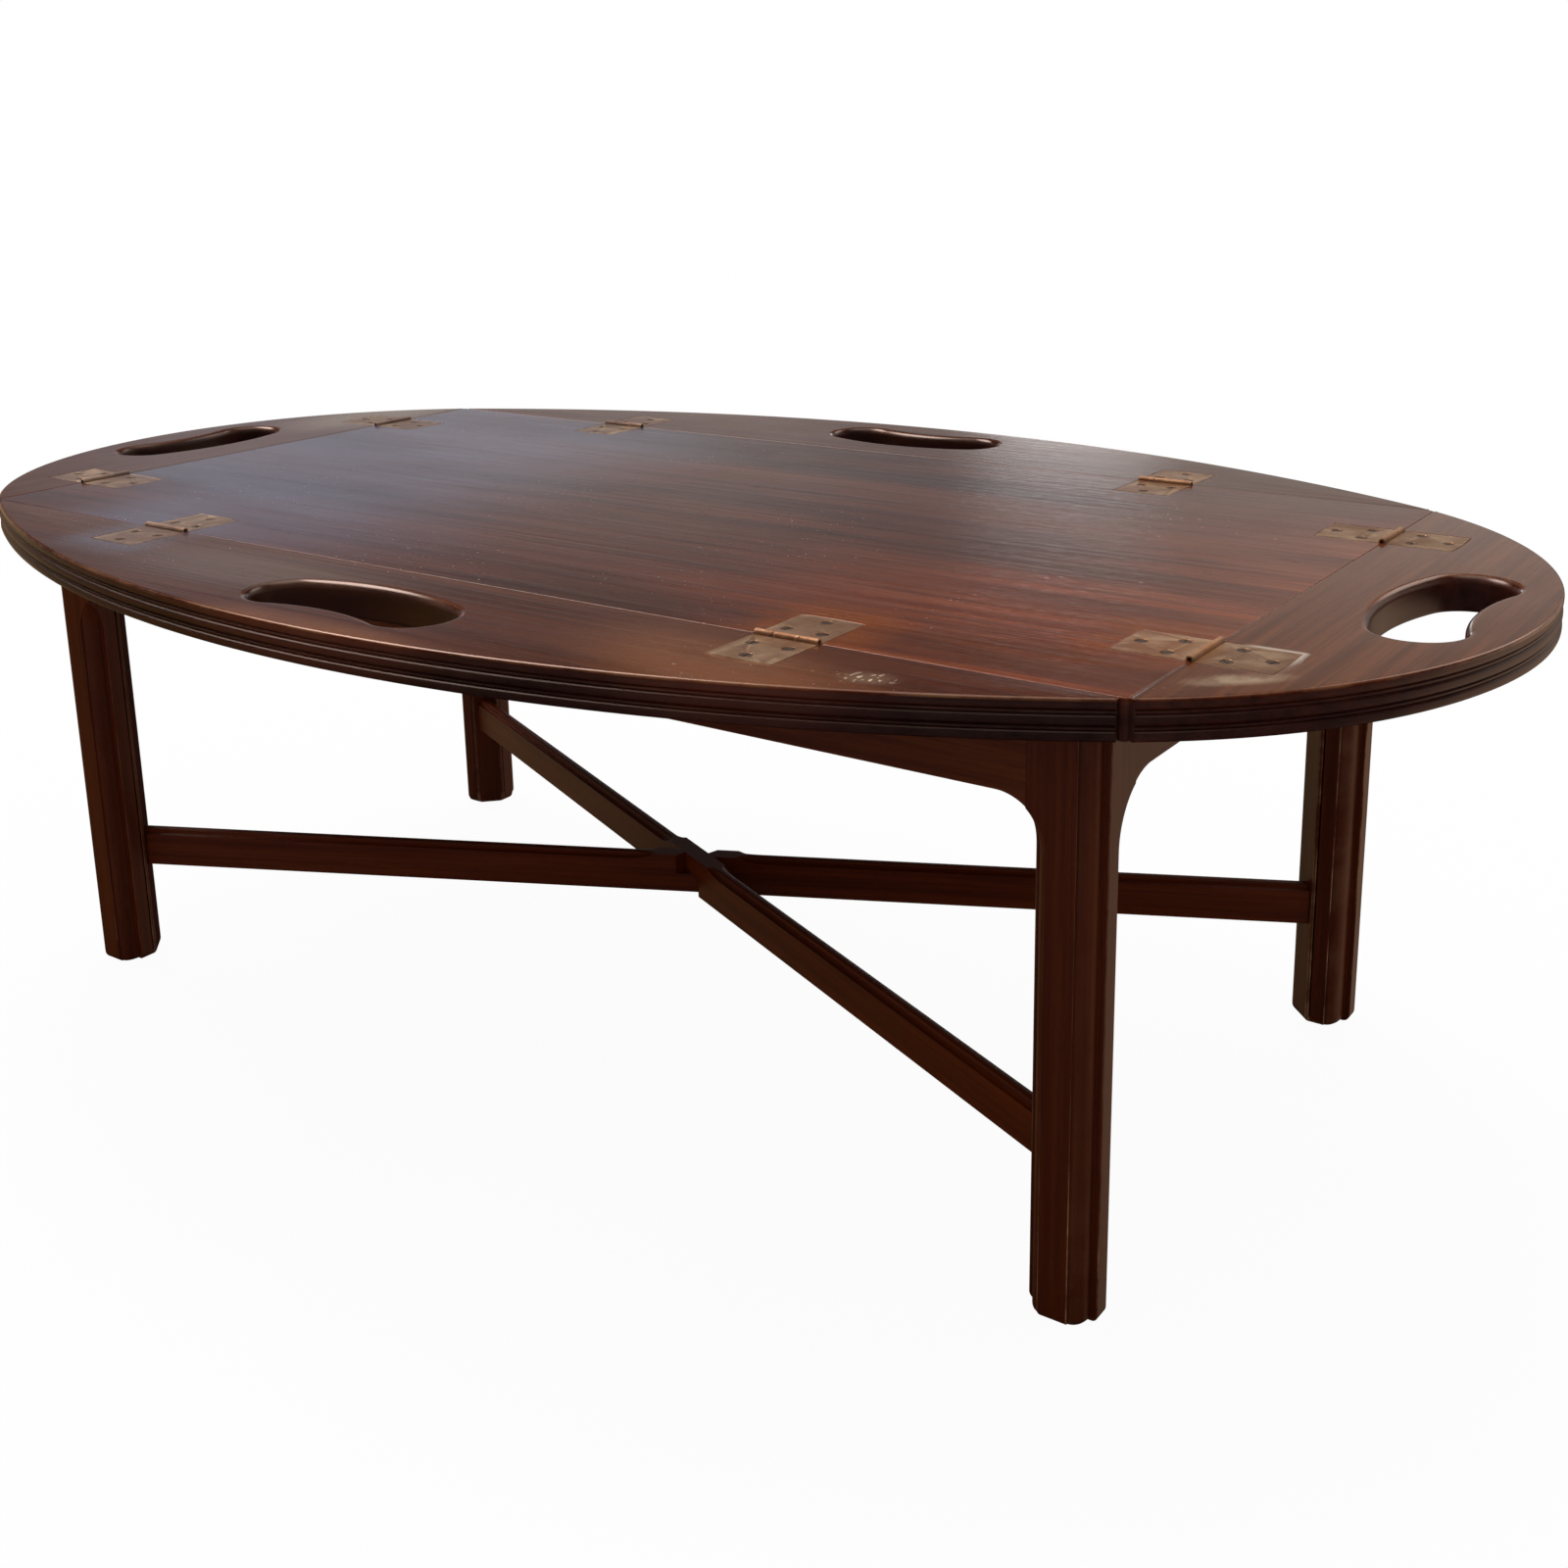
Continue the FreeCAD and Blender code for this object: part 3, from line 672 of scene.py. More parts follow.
def near_plate(tree, place, seam, side, reach, out=-1):
    """1 round one hinge plate, of the panel (out -1) or the leaf (out 1), falling to 0 at the reach."""
    turn, distance, offset = seams[seam]
    middle = at_seam(np.array([[0.0, out * plate_tip / 2]]), turn, distance, side * offset)[0] / 1000
    half = np.abs(at_seam(np.array([[plate_half, plate_tip / 2]]), turn, 0.0)[0]) / 1000
    shift = vectors(tree, "SUBTRACT", place, (*middle, top_height / 1000))
    past = vectors(tree, "SUBTRACT", vectors(tree, "ABSOLUTE", shift), (*half, 0.05))
    return step(tree, vectors(tree, "LENGTH", vectors(tree, "MAXIMUM", past, (0.0, 0.0, 0.0))), reach, 0.0)


def spot(tree, place, middle, half, turn=0.0):
    """1 in the middle of an oval on the top, falling to 0 at its edge."""
    shift = vectors(tree, "SUBTRACT", place, (*middle, top_height / 1000))
    level = put(tree, "Mapping", {"Vector": shift, "Rotation": (0.0, 0.0, -turn)}).outputs[0]
    sized = vectors(tree, "MULTIPLY", level, (1 / half[0], 1 / half[1], 20.0))
    return step(tree, vectors(tree, "LENGTH", sized), 1.0, 0.2)


def panel_wear(tree, place, colour):
    """Redder and lighter towards the front right corner, with orange halos rubbed round two hinges; a bluish
    blooming in the lacquer over the left third, painted together with the bluish sheen of a reflection there,
    gone at the front left corner; cloudy light and dark streaks."""
    x, y = put(tree, "SeparateXYZ", {0: place}).outputs[:2]
    clouds = noise(tree, place, (3.0, 6.0, 5.0), detail=5.0, rough=0.6)
    right = sums(tree, "MULTIPLY_ADD", y, -0.55, x)
    right = step(tree, sums(tree, "MULTIPLY_ADD", clouds, 0.5, right), 0.38, 0.82)
    fine = step(tree, noise(tree, place, (5.0, 110.0, 80.0), detail=5.0, rough=0.65), 0.32, 0.66)
    red = blend(tree, fine, tone(0.155, 0.031, 0.010), tone(0.275, 0.068, 0.024))
    colour = blend(tree, times(tree, right, 0.72), colour, red)
    shade = step(tree, noise(tree, place, (2.2, 13.0, 10.0), detail=5.0, rough=0.6), 0.34, 0.60, 0.55, 1.15)
    colour = put(tree, "VectorMath", {0: colour, 3: shade}, operation="SCALE").outputs[0]
    front_plate = near_plate(tree, place, "front", -1, 0.045)
    halo = sums(tree, "MAXIMUM", front_plate, near_plate(tree, place, "right", 1, 0.045))
    patchy = step(tree, noise(tree, place, (16.0, 22.0, 20.0), detail=6.0, rough=0.7), 0.36, 0.62)
    halo = times(tree, times(tree, halo, patchy), 0.9)
    colour = blend(tree, halo, colour, tone(0.225, 0.050, 0.004))
    # Painted sheen: the bluish grey over the left third is partly a blooming in the lacquer and partly a
    # reflection painted into the colour.
    bloom_and_sheen = step(tree, sums(tree, "MULTIPLY_ADD", clouds, -0.22, x), -0.14, -0.46)
    milky = noise(tree, place, (4.0, 26.0, 20.0), detail=6.0, rough=0.68)
    strength = step(tree, milky, 0.30, 0.62, 0.42, 0.70)
    corner = spot(tree, place, (-0.500, -0.260), (0.150, 0.160))
    strength = times(tree, strength, sums(tree, "MULTIPLY_ADD", corner, -0.9, 1.0))
    return blend(tree, times(tree, bloom_and_sheen, strength), colour, tone(0.155, 0.155, 0.220))


panel_finish = mahogany("panel_mahogany", lengthwise, (0.036, 0.007, 0.006), (0.092, 0.021, 0.011),
                        (0.140, 0.038, 0.017), (0.34, 0.17, 0.10), 0.17, wear=0.6, scuffs=0.1,
                        side=(0.42, 0.30, 0.25), tint=panel_wear)
build("bedded_tray_panel", panel_shells(), panel_finish, "tray", ["tray_panel"])

# Leaves. Four D-shaped mahogany boards hinged to the panel, their bowed rims worked with three beads and
# two ribs, each with a kidney hand slot whose lips are rounded over for the fingers.

rim_arris = 2.4
bead_depth = 1.9
side_leaf = dict(half=525.0, reach=142.15, nose=3.9, slot=42.0)
end_leaf = dict(half=280.5, reach=154.65, nose=3.7, slot=52.0)
lobe_radius = 28.0
lobe_offset = 60.0
slot_depth = 67.0
slot_waist = 57.0
lip_top = 6.0
lip_bottom = 3.0
seam_arris = 0.8
seam_foot = 1.0
# Beads: middle below the top, half height, and the share of it where the bead starts. Rib: drop, inset, wear
beads = ((3.2, 3.8, 0.15), (13.25, 3.35, -1.0), (22.65, 3.35, -1.0))
rib = ((0.25, 1.95, 0.0), (0.5, 1.3, 0.0), (0.9, 0.95, 0.1), (1.45, 0.85, 0.15), (2.0, 0.95, 0.1),
       (2.4, 1.3, 0.0), (2.7, 1.95, 0.0))
# Two beds were cut too long and made good with filler: (by how much at the shoulders, at the tip)
overcut_beds = {("front", -1): (1.0, 4.5), ("right", 1): (1.0, 4.0)}
filler_drop = 0.45
nose_step = 0.6


def arc_points(centre, radius, start, end, count):
    """Points along an arc between two angles."""
    turn = np.linspace(start, end, count)
    return np.column_stack([centre[0] + radius * np.cos(turn), centre[1] + radius * np.sin(turn)])


def leaf_outline(half, reach, nose):
    """D shape, anticlockwise: a straight seam, a short nose at each end, and one arc through the noses and
    the full reach. Gives also each point's share of reeding, 1 on the bowed rim and 0 elsewhere."""
    rise = reach - nose
    radius = (half**2 + rise**2) / (2 * rise)
    swing = math.asin(half / radius)
    bow = arc_points((0, reach - radius), radius, math.pi / 2 - swing, math.pi / 2 + swing, 260)
    inner = seam_gap / 2
    plain = nose - nose_step
    path = np.concatenate([[(-half, inner), (half, inner), (half, plain)], bow, [(-half, plain)]])
    return path, np.concatenate([[0, 0, 0], np.ones(len(bow)), [0]])


def rim_profile():
    """The reeded edge as (inset, drop, wear): rounded arris, bead, rib, bead, rib, bead. A bead's inset is
    its depth times 1 - root of (1 - share to the power 2.6), flatter than a circle."""
    # The top arris is worn pale, and its wear is raised to paint the highlight line along it.
    points = rounded(rim_arris, 0.7)
    for middle, half, first in beads:
        for t in np.linspace(first, 1, 9):
            bulge = math.sqrt(max(1 - abs(t) ** 2.6, 0))
            points.append((bead_depth * (1 - bulge), middle + half * t, 0.05 * bulge))
        if middle < beads[-1][0]:
            points += [(inset, middle + half + drop, wear) for drop, inset, wear in rib]
    return points


def slot_outline(slot):
    """Kidney slot seen from above, clockwise, of four arcs: a flat bow towards the seam, a lobe at each end
    and a bump towards the rim. The bow's and the bump's radii make them meet the lobes smoothly."""
    r, rise = lobe_radius, slot_depth - lobe_radius
    sag = slot_waist - rise
    bow_radius = (lobe_offset**2 + rise**2 - r**2) / (2 * (rise - r))
    bump_radius = (lobe_offset**2 + sag**2 - r**2) / (2 * (r - sag))
    bow_centre, bump_centre = (0, slot + bow_radius), (0, slot + slot_waist + bump_radius)
    lobe_y = slot + rise
    a = math.atan2(lobe_y - bow_centre[1], lobe_offset)
    b = math.atan2(bump_centre[1] - lobe_y, -lobe_offset)
    bow = arc_points(bow_centre, bow_radius, -math.pi - a, a, 61)
    right = arc_points((lobe_offset, lobe_y), r, a, b, 41)
    bump = arc_points(bump_centre, bump_radius, b - math.pi, -b, 41)
    left = arc_points((-lobe_offset, lobe_y), r, math.pi - b, math.pi - a, 41)
    return np.concatenate([bow[:-1], right[:-1], bump[:-1], left[:-1]])[::-1]


def leaf_shells(name, turn, distance, offset, half, reach, nose, slot):
    """Reeded and plain edge profiles blended round the outline by each point's share, lipped slot, beds of
    the plates. Behind an overcut bed's plate a filler lies a little below the top."""
    path, reeded = leaf_outline(half, reach, nose)
    rings, wears = [], []
    for inset, drop, wear in rim_profile():
        up, down = max(seam_arris - drop, 0), max(drop - board_thickness + seam_foot, 0)
        plain = seam_arris - math.sqrt(seam_arris**2 - up**2) + seam_foot - math.sqrt(seam_foot**2 - down**2)
        ring = inset_path(path, inset * reeded + plain * (1 - reeded))
        rings.append(at_height(ring, top_height - drop))
        wears.append(wear * reeded + (1 - reeded) * (0.15 if 0 < drop < 1.3 else 0.0))
    rim = at_seam(np.stack(rings), turn, distance)
    lips = rounded(lip_top, 0.25, 9)
    lips += [(drop, board_thickness - inset, 0.0) for inset, drop, _ in rounded(lip_bottom, 0.0, 7)]
    slot_rings, slot_wear = lipped(slot_outline(slot), lips)
    slot_rings = at_seam(slot_rings, turn, distance)
    shells = [strips(rim, np.stack(wears)), strips(slot_rings, slot_wear)]
    holes = [slot_rings[0][:, :2]]
    for side in (-1, 1):
        overcut = overcut_beds.get((name, side), (0.0, 0.0))
        outline = plate_outline(bed_margin, bed_near, overcut)
        rings, wear = lipped(at_seam(outline, turn, distance, side * offset), bed_profile)
        holes.append(rings[0][:, :2])
        shells += [strips(rings, wear), cap(rings[-1], 1.0)]
        if (name, side) in overcut_beds:
            filler = np.concatenate([outline[1:-1], plate_outline(0.05, bed_near)[-2:0:-1]])
            filler = at_seam(filler, turn, distance, side * offset)
            shells.append(cap(at_height(filler, top_height - filler_drop), 1.0))
    shells.append(flat([rim[0][:, :2]] + holes, top_height))
    shells.append(flat([rim[-1][:, :2], slot_rings[-1][:, :2]], underside))
    return shells


def side_leaf_wear(tree, place, colour):
    """Front leaf: tan and grey from fading in the middle and before the slot, redder at the right, haze round
    the left hinge, a few pale chips."""
    clouds = noise(tree, place, (5.0, 12.0, 9.0), detail=5.0, rough=0.65)
    x = put(tree, "SeparateXYZ", {0: place}).outputs["X"]
    colour = blend(tree, step(tree, x, 0.30, 0.46), colour, tone(0.90, 0.66, 0.45), "MULTIPLY")
    pale_patch = sums(tree, "MAXIMUM", spot(tree, place, (0.305, -0.352), (0.165, 0.080), -0.25),
                 spot(tree, place, (0.02, -0.420), (0.160, 0.024)))
    pale_patch = times(tree, pale_patch, step(tree, clouds, 0.30, 0.60, 0.35, 0.85))
    colour = blend(tree, pale_patch, colour, tone(0.235, 0.086, 0.038))
    grey = times(tree, spot(tree, place, (-0.13, -0.340), (0.21, 0.065)), 0.40)
    colour = blend(tree, grey, colour, tone(0.21, 0.155, 0.125))
    haze = near_plate(tree, place, "front", 1, 0.040, 1)
    haze = times(tree, haze, step(tree, clouds, 0.30, 0.60, 0.25, 0.60))
    colour = blend(tree, haze, colour, tone(0.155, 0.150, 0.195))
    chips = step(tree, noise(tree, place, (330.0, 130.0, 200.0), detail=2.0), 0.57, 0.63)
    near = spot(tree, place, (0.388, -0.326), (0.024, 0.015), 0.3)
    colour = blend(tree, times(tree, near, 0.25), colour, tone(0.40, 0.27, 0.17))
    return blend(tree, times(tree, chips, near), colour, tone(0.72, 0.57, 0.42))


def end_leaf_wear(tree, place, colour):
    """Right leaf: paler than the left one, with a painted glare by the near hinge and a ridged line of
    lacquer on the far side of its plate, painted pale as its highlight. Left leaf: a pale patch of painted
    glare at the back."""
    x, y = put(tree, "SeparateXYZ", {0: place}).outputs[:2]
    colour = blend(tree, step(tree, x, 0.0, 0.1), colour, tone(1.35, 1.40, 1.30), "MULTIPLY")
    # Painted glare: the pale patch at the back of the left leaf stands for a reflection in the lacquer.
    pale_patch = times(tree, spot(tree, place, (-0.585, 0.200), (0.080, 0.150)), 0.6)
    colour = blend(tree, pale_patch, colour, tone(0.34, 0.26, 0.20))
    clouds = noise(tree, place, (24.0, 24.0, 24.0), detail=5.0, rough=0.65)
    # Painted glare: a pale warm smear by the near hinge stands for a reflection of lamps in the lacquer.
    painted_glare = times(tree, spot(tree, place, (0.568, -0.218), (0.042, 0.014), 0.75),
                       step(tree, clouds, 0.36, 0.60, 0.15, 0.75))
    colour = blend(tree, painted_glare, colour, tone(0.50, 0.36, 0.23))
    # Painted highlight: a pale line along the ridged lacquer on the far side of the plate.
    ridge_highlight = near_plate(tree, place, "right", 1, 0.0050, 1)
    ridge_highlight = times(tree, ridge_highlight, step(tree, y, -0.185, -0.160, 0.1, 0.9))
    ridge_highlight = times(tree, ridge_highlight, step(tree, x, 0.540, 0.556))
    return blend(tree, ridge_highlight, colour, tone(0.66, 0.55, 0.46))


leaf_tones = ((0.034, 0.007, 0.004), (0.105, 0.028, 0.012), (0.155, 0.050, 0.019), (0.30, 0.14, 0.07))
leaf_wear = dict(wear=0.7, scuffs=0.1, side=(0.30, 0.11, 0.03))
leaf_long = mahogany("leaf_mahogany_long", lengthwise, *leaf_tones, 0.17, tint=side_leaf_wear, **leaf_wear)
leaf_short = mahogany("leaf_mahogany_short", crosswise, *leaf_tones, 0.17, tint=end_leaf_wear, **leaf_wear)
for name, seam in seams.items():
    sizes, finish = (side_leaf, leaf_long) if name in ("back", "front") else (end_leaf, leaf_short)
    shells = leaf_shells(name, *seam, **sizes)
    build(f"reeded_leaf_{name}", shells, finish, f"leaf_{name}", [f"leaf_{name}"])

# Hinges. Brass tray hinges let in flush: a plate on the panel with two knuckles and the pin, and a plate on
# the leaf with the middle knuckle. Each plate is countersunk for three screws.

axis_height = 430.8
knuckle_radius = 2.6
middle_knuckle = 20.0
bore_radius = 1.3
knuckle_gap = 0.15
screw_places = [(-13.5, 18.5), (13.5, 18.5), (1.0, 42.0)]
screw_radius = 4.4
plate_rise = 0.02
countersink = [(0.35, -plate_rise, 0.5), (0.1, 0.1, 0.3), (0, 0.3, 0), (-0.5, 1.2, 0)]


def circle(centre, radius, count=24):
    """Clockwise circle, so that the brass lies on its left."""
    turn = -np.arange(count) * 2 * math.pi / count
    return np.column_stack([centre[0] + radius * np.cos(turn), centre[1] + radius * np.sin(turn)])


def plate_shells():
    """Flat plate with softened edges and three countersinks, in its hinge's own frame."""
    outline = plate_outline(0.0, plate_near)[::-1]
    edge = [(0.4, -plate_rise, 0.6), (0.12, 0.06, 0.9), (0.0, 0.32, 0.4), (0.0, plate_thickness - 0.05, 0.0)]
    rim, wear = lipped(outline, edge)
    shells = [strips(rim, wear), cap(rim[-1])]
    holes = []
    for place in screw_places:
        rings, wear = lipped(circle(place, screw_radius), countersink)
        holes.append(rings[0][:, :2])
        shells += [strips(rings, wear), cap(rings[-1])]
    shells.append(flat([rim[0][:, :2]] + holes, top_height + plate_rise))
    return shells


def knuckle(start, end, open_end=0):
    """A tube along x round the pin's axis: eased at both ends, hollow at its open end."""
    r = knuckle_radius
    stations = [(start, r - 0.45, 0.6), (start + 0.15, r - 0.12, 0.7), (start + 0.5, r, 0.2),
                (end - 0.5, r, 0.2), (end - 0.15, r - 0.12, 0.7), (end, r - 0.45, 0.6)]
    if open_end > 0:
        stations += [(end - 0.1, bore_radius, 0.0), (end - 3.0, bore_radius - 0.1, 0.0)]
    if open_end < 0:
        stations = [(start + 3.0, bore_radius - 0.1, 0.0), (start + 0.1, bore_radius, 0.0)] + stations
    x, radius, wear = np.array(stations).T[..., None]
    around = np.arange(40) * 2 * math.pi / 40
    y, z = -radius * np.cos(around), axis_height + radius * np.sin(around)
    rings = np.stack([x + 0 * around, y, z], axis=-1)
    return [strips(rings, wear), cap(rings[0]), cap(rings[-1])]


def brass(name, colour, dark, gloss):
    """Old brushed brass in a light and a dark tone of brown patina, rubbed bright on its edges, dulled at the
    left end of the table, and on one plate rubbed to a polish and painted brighter as its glare. The barrels
    are duller than the plates."""
    material, tree, shader = new_material(name)
    place = put(tree, "TexCoord").outputs["Object"]
    patches = step(tree, noise(tree, place, (38.0, 38.0, 38.0), detail=6.0, rough=0.65), 0.36, 0.64)
    brushed = noise(tree, place, (1400.0, 60.0, 60.0), detail=2.0)
    colour = blend(tree, patches, tone(*dark), tone(*colour))
    x = put(tree, "SeparateXYZ", {0: place}).outputs["X"]
    dulled = step(tree, x, -0.20, -0.32, 0.0, 0.6)
    colour = blend(tree, dulled, colour, tone(0.165, 0.140, 0.140))
    # Painted glare: the panel's plate at the right leaf's near hinge is brightened as well as polished.
    polish_and_glare = step(tree, vectors(tree, "DISTANCE", place, (0.505, -0.176, 0.43)), 0.045, 0.020)
    colour = blend(tree, polish_and_glare, colour, tone(1.25, 0.95, 0.50), "MULTIPLY")
    edge = worn_edges(tree, place, 0.9)
    colour = blend(tree, edge, colour, tone(0.74, 0.55, 0.36))
    hairs = put(tree, "Group", {"Vector": place, "Amount": 0.6}, node_tree=scratches).outputs[0]
    colour = blend(tree, hairs, colour, tone(0.60, 0.50, 0.38))
    tree.links.new(colour, shader.inputs["Base Color"])
    tree.links.new(sums(tree, "MULTIPLY_ADD", edge, 0.35, 0.55), shader.inputs["Metallic"])
    rough = sums(tree, "MULTIPLY_ADD", brushed, 0.12, gloss)
    rough = sums(tree, "MULTIPLY_ADD", patches, -0.06, rough)
    barrel = step(tree, below_top(tree, place), -0.2, -0.8)
    rougher = sums(tree, "MULTIPLY_ADD", dulled, 0.30, 0.20)
    tree.links.new(sums(tree, "MULTIPLY_ADD", barrel, rougher, rough), shader.inputs["Roughness"])
    lift = put(tree, "Bump", {"Height": brushed, "Strength": 0.15, "Distance": 0.0001}).outputs[0]
    tree.links.new(lift, shader.inputs["Normal"])
    return material


brass_finish = brass("worn_brass", (0.225, 0.112, 0.050), (0.155, 0.070, 0.030), 0.34)
inner = middle_knuckle / 2


def hinge_shells(shells, seam, side, half_turn):
    """Shells made in a hinge's own frame set at one hinge of a seam, half turned for the panel side."""
    turn, distance, offset = seam
    flip = (-1, -1, 1) if half_turn else (1, 1, 1)
    return [(at_seam(points * flip, turn, distance, side * offset), faces, wear)
            for points, faces, wear in shells]


leaf_parts = plate_shells() + knuckle(-inner + knuckle_gap, inner - knuckle_gap)
panel_parts = plate_shells() + knuckle(-plate_half, -inner, -1) + knuckle(inner, plate_half, 1)
for name, seam in seams.items():
    shells = hinge_shells(leaf_parts, seam, -1, False) + hinge_shells(leaf_parts, seam, 1, False)
    stands_for = [f"hinges_leaf_side_{name}"]
    build(f"brass_plates_leaf_{name}", shells, brass_finish, f"leaf_{name}", stands_for)
    shells = hinge_shells(panel_parts, seam, -1, True) + hinge_shells(panel_parts, seam, 1, True)
    stands_for = [f"hinges_panel_side_{name}"]
    build(f"brass_plates_panel_{name}", shells, brass_finish, "tray", stands_for)

# Screws. Slotted countersunk steel screws, blackened with age, three in each plate, their slots lying as
# they happened to stop.

slot_half = 0.55
slot_drop = 0.7
head_drop = 0.22
head_round = 0.15
head_floor = 1.25


def screw_shells(place, turn):
    """Head of two half discs on either side of the slot, standing on a lower disc."""
    r = screw_radius - 0.25
    head = top_height - head_drop
    start = math.asin(slot_half / r)
    bow = arc_points((0, 0), r, start, math.pi - start, 14)
    half = np.stack([at_height(inset_path(bow, 0.3), head), at_height(bow, head - head_round),
                     at_height(bow, head - slot_drop - 0.1)])
    shells = []
    for side in (1, -1):
        rings = half * (side, side, 1)
        shells += [strips(rings, [0.6, 0.8, 0.0]), cap(rings[0]), cap(rings[-1])]
    disc = arc_points((0, 0), r, 0, 2 * math.pi * 19 / 20, 20)
    discs = np.stack([at_height(disc, head - slot_drop), at_height(disc * 0.95, top_height - head_floor)])
    shells += [strips(discs, [0.0, 0.0]), cap(discs[0]), cap(discs[-1])]
    return [(turned(points, turn) + (*place, 0.0), faces, wear) for points, faces, wear in shells]


steel, tree, shader = new_material("blackened_screw_steel")
edge = worn_edges(tree, put(tree, "TexCoord").outputs["Object"], 0.6)
colour = blend(tree, edge, tone(0.050, 0.030, 0.020), tone(0.22, 0.16, 0.11))
tree.links.new(colour, shader.inputs["Base Color"])
shader.inputs["Metallic"].default_value = 0.6
shader.inputs["Roughness"].default_value = 0.45
turns = iter(np.random.default_rng(7).uniform(0, math.pi, 48).tolist())
for name, seam in seams.items():
    for half_turn, body, side_name in ((False, f"leaf_{name}", "leaf"), (True, "tray", "panel")):
        shells = []
        for side in (-1, 1):
            for hole in screw_places:
                shells += hinge_shells(screw_shells(hole, next(turns)), seam, side, half_turn)
        build(f"screws_{side_name}_{name}", shells, steel, body, ())

# Studio. A white floor that runs to a white horizon and soft light from above. The lacquer and brass mirror
# a dim room: pale walls low down at the back, dim warm ones on the camera's side, and patches of lamplight.


def seen_or_mirrored(tree):
    """1 for rays from the camera and for those that mirrors and glass send on."""
    path = put(tree, "LightPath").outputs
    seen = sums(tree, "MAXIMUM", path["Is Camera Ray"], path["Is Transmission Ray"])
    return sums(tree, "MAXIMUM", seen, path["Is Glossy Ray"])


def stage_piece(name, points, faces, material):
    """A piece of the stage from its points and faces, in metres."""
    mesh = bpy.data.meshes.new(name)
    mesh.from_pydata(points, [], faces)
    mesh.materials.append(material)
    made = bpy.data.objects.new(name, mesh)
    bpy.context.collection.objects.link(made)
    return made


floor_half = 60.0
room_radius = 40.0
white, tree, shader = new_material("white_floor")
shader.inputs["Base Color"].default_value = tone(0.93, 0.93, 0.93)
shader.inputs["Roughness"].default_value = 0.9
shader.inputs["Specular IOR Level"].default_value = 0.0
glow = put(tree, "Emission", {"Color": tone(1.0, 1.0, 1.0), "Strength": 1.0}).outputs[0]
share = times(tree, seen_or_mirrored(tree), 0.955)
mixed = put(tree, "MixShader", {0: share, 1: shader.outputs[0], 2: glow}).outputs[0]
tree.links.new(mixed, tree.nodes["Material Output"].inputs["Surface"])
corners = [(-floor_half, -floor_half, 0), (floor_half, -floor_half, 0), (floor_half, floor_half, 0),
           (-floor_half, floor_half, 0)]
floor = stage_piece("floor", corners, [(0, 1, 2, 3)], white)
floor.visible_glossy = False


def towards(turn, rise):
    """Direction with a turn from +Y towards +X and a rise above the horizon, in degrees."""
    turn, rise = math.radians(turn), math.radians(rise)
    return (math.sin(turn) * math.cos(rise), math.cos(turn) * math.cos(rise), math.sin(rise))


# Each patch of light: turn, rise, where it is full and where it ends (degrees), colour
patches = [
    (-101, 54, 9, 22, (13.0, 10.0, 8.6)),
    (0, 90, 12, 30, (2.2, 1.7, 1.4)),
    (11, 36, 7, 20, (2.6, 2.1, 1.8)),
    (-54, 9, 4, 12, (0.06, 0.06, 0.08)),
    (-26, 6.3, 2, 4.0, (2.10, 2.06, 2.06)),
    (-40, 8, 4, 9, (0.12, 0.10, 0.09)),
    (-15, 14, 3, 12, (0.20, 0.18, 0.15)),
    (38, -14, 12, 42, (0.80, 0.52, 0.35)),
    (-118, -14, 6, 26, (0.30, 0.12, 0.02)),
    (-72, -14, 6, 24, (0.50, 0.33, 0.17)),
]
dim_room, tree, _ = new_material("dim_room")
tree.nodes.clear()
ahead = vectors(tree, "NORMALIZE", put(tree, "TexCoord").outputs["Object"])
east, north, high = put(tree, "SeparateXYZ", {0: ahead}).outputs
level = sums(tree, "MULTIPLY_ADD", east, -0.06, high)
walls = times(tree, step(tree, level, 0.312, 0.252), step(tree, high, -0.03, 0.03))
far_wall = blend(tree, step(tree, north, 0.0, 0.4), tone(0.09, 0.06, 0.035), tone(0.30, 0.297, 0.295))
far_wall = blend(tree, step(tree, east, -0.79, -0.87), far_wall, tone(0.15, 0.12, 0.10))
light = blend(tree, walls, tone(0.015, 0.010, 0.008), far_wall)
for turn, rise, full, end, colour in patches:
    facing = vectors(tree, "DOT_PRODUCT", ahead, towards(turn, rise))
    share = step(tree, facing, math.cos(math.radians(end)), math.cos(math.radians(full)))
    light = blend(tree, share, light, tone(*colour), "ADD")
glow = put(tree, "Emission", {"Color": light, "Strength": 1.0}).outputs[0]
tree.links.new(glow, put(tree, "OutputMaterial").inputs["Surface"])
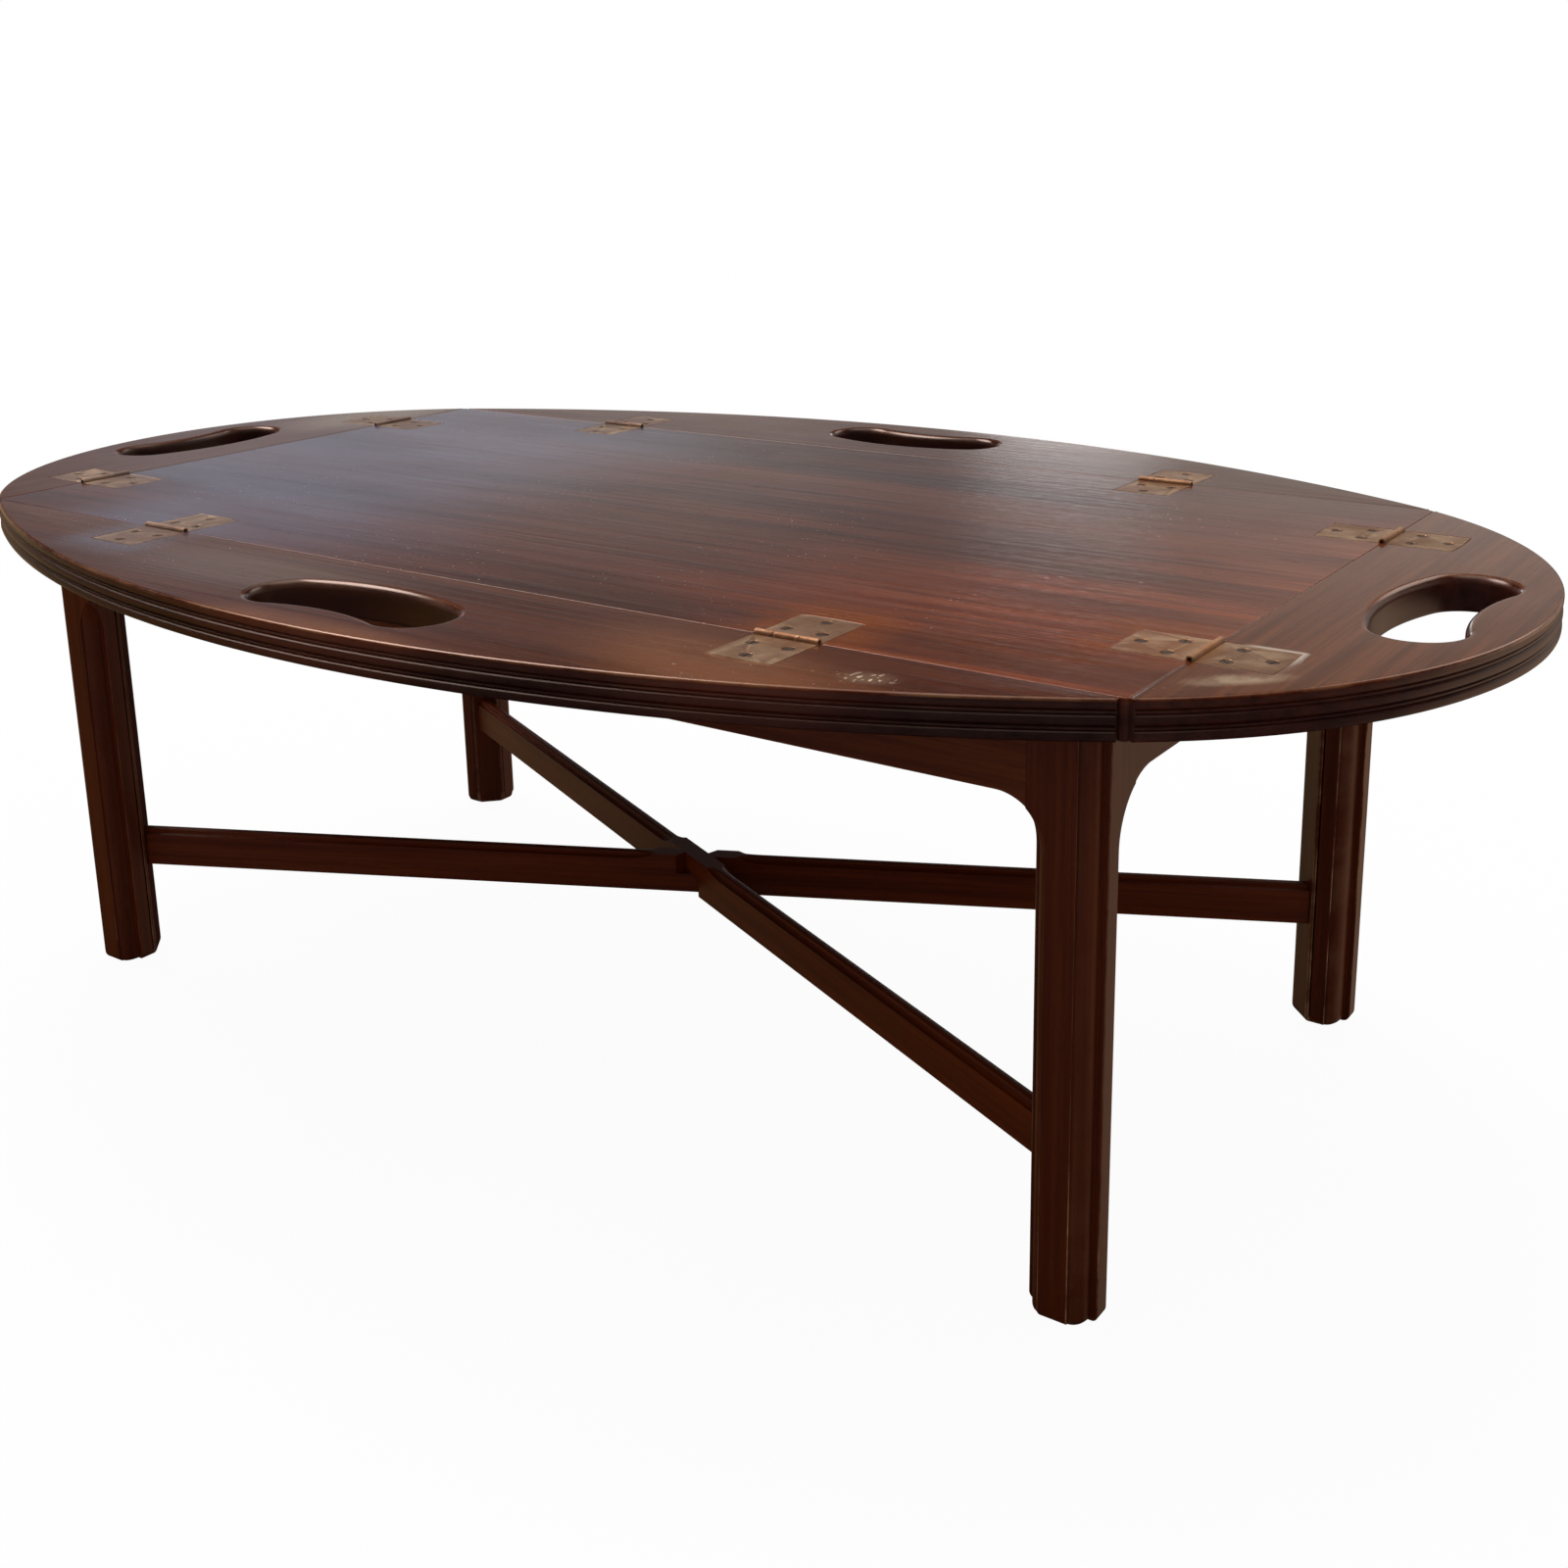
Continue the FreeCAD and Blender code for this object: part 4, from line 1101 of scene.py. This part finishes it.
around, rise = np.meshgrid(np.arange(48) * 2 * math.pi / 48, np.linspace(-1.57, 1.57, 25))
dome = np.stack([np.cos(rise) * np.cos(around), np.cos(rise) * np.sin(around), np.sin(rise)], axis=-1)
points, faces, _ = strips(room_radius * dome, np.zeros(25))
room = stage_piece("room", points.tolist(), faces.tolist(), dim_room)
room.visible_camera = room.visible_diffuse = room.visible_shadow = room.visible_transmission = False

world = bpy.data.worlds.new("white_room")
bpy.context.scene.world = world
world.use_nodes = True
tree = world.node_tree
backdrop = tree.nodes["Background"]
strength = sums(tree, "MULTIPLY_ADD", seen_or_mirrored(tree), 0.45, 0.55)
tree.links.new(strength, backdrop.inputs["Strength"])
backdrop.inputs["Color"].default_value = tone(1.0, 1.0, 1.0)

sun = bpy.data.lights.new("soft_overhead", "SUN")
sun.energy = 1.75
sun.angle = math.radians(50)
overhead = bpy.data.objects.new("soft_overhead", sun)
overhead.rotation_euler = (math.radians(-18), math.radians(-22), 0)
bpy.context.collection.objects.link(overhead)

# Camera of the photograph: a 42.65 mm view from the front right, looking down on the top
azimuth, elevation, roll = (math.radians(a) for a in (34.642, 14.658, -0.917))
flat_view = np.array((-math.sin(azimuth), math.cos(azimuth), 0.0))
ahead = flat_view * math.cos(elevation) - np.array((0.0, 0.0, math.sin(elevation)))
level = np.array((math.cos(azimuth), math.sin(azimuth), 0.0))
above = np.cross(level, ahead)
side = math.cos(roll) * level + math.sin(roll) * above
above = -math.sin(roll) * level + math.cos(roll) * above
camera = bpy.data.cameras.new("photo_view")
camera.sensor_width = 36.0
camera.lens = 42.65
camera.shift_x = -0.01658
camera.shift_y = -0.12244
camera.clip_end = 200.0
viewer = bpy.data.objects.new("photo_view", camera)
stand_point = (0.93877, -1.17919, 0.74697)
axes = np.column_stack([side, above, -ahead, stand_point])
viewer.matrix_world = Matrix(axes.tolist() + [[0, 0, 0, 1]])
bpy.context.collection.objects.link(viewer)
bpy.context.scene.camera = viewer
bpy.context.scene.view_settings.view_transform = "Standard"
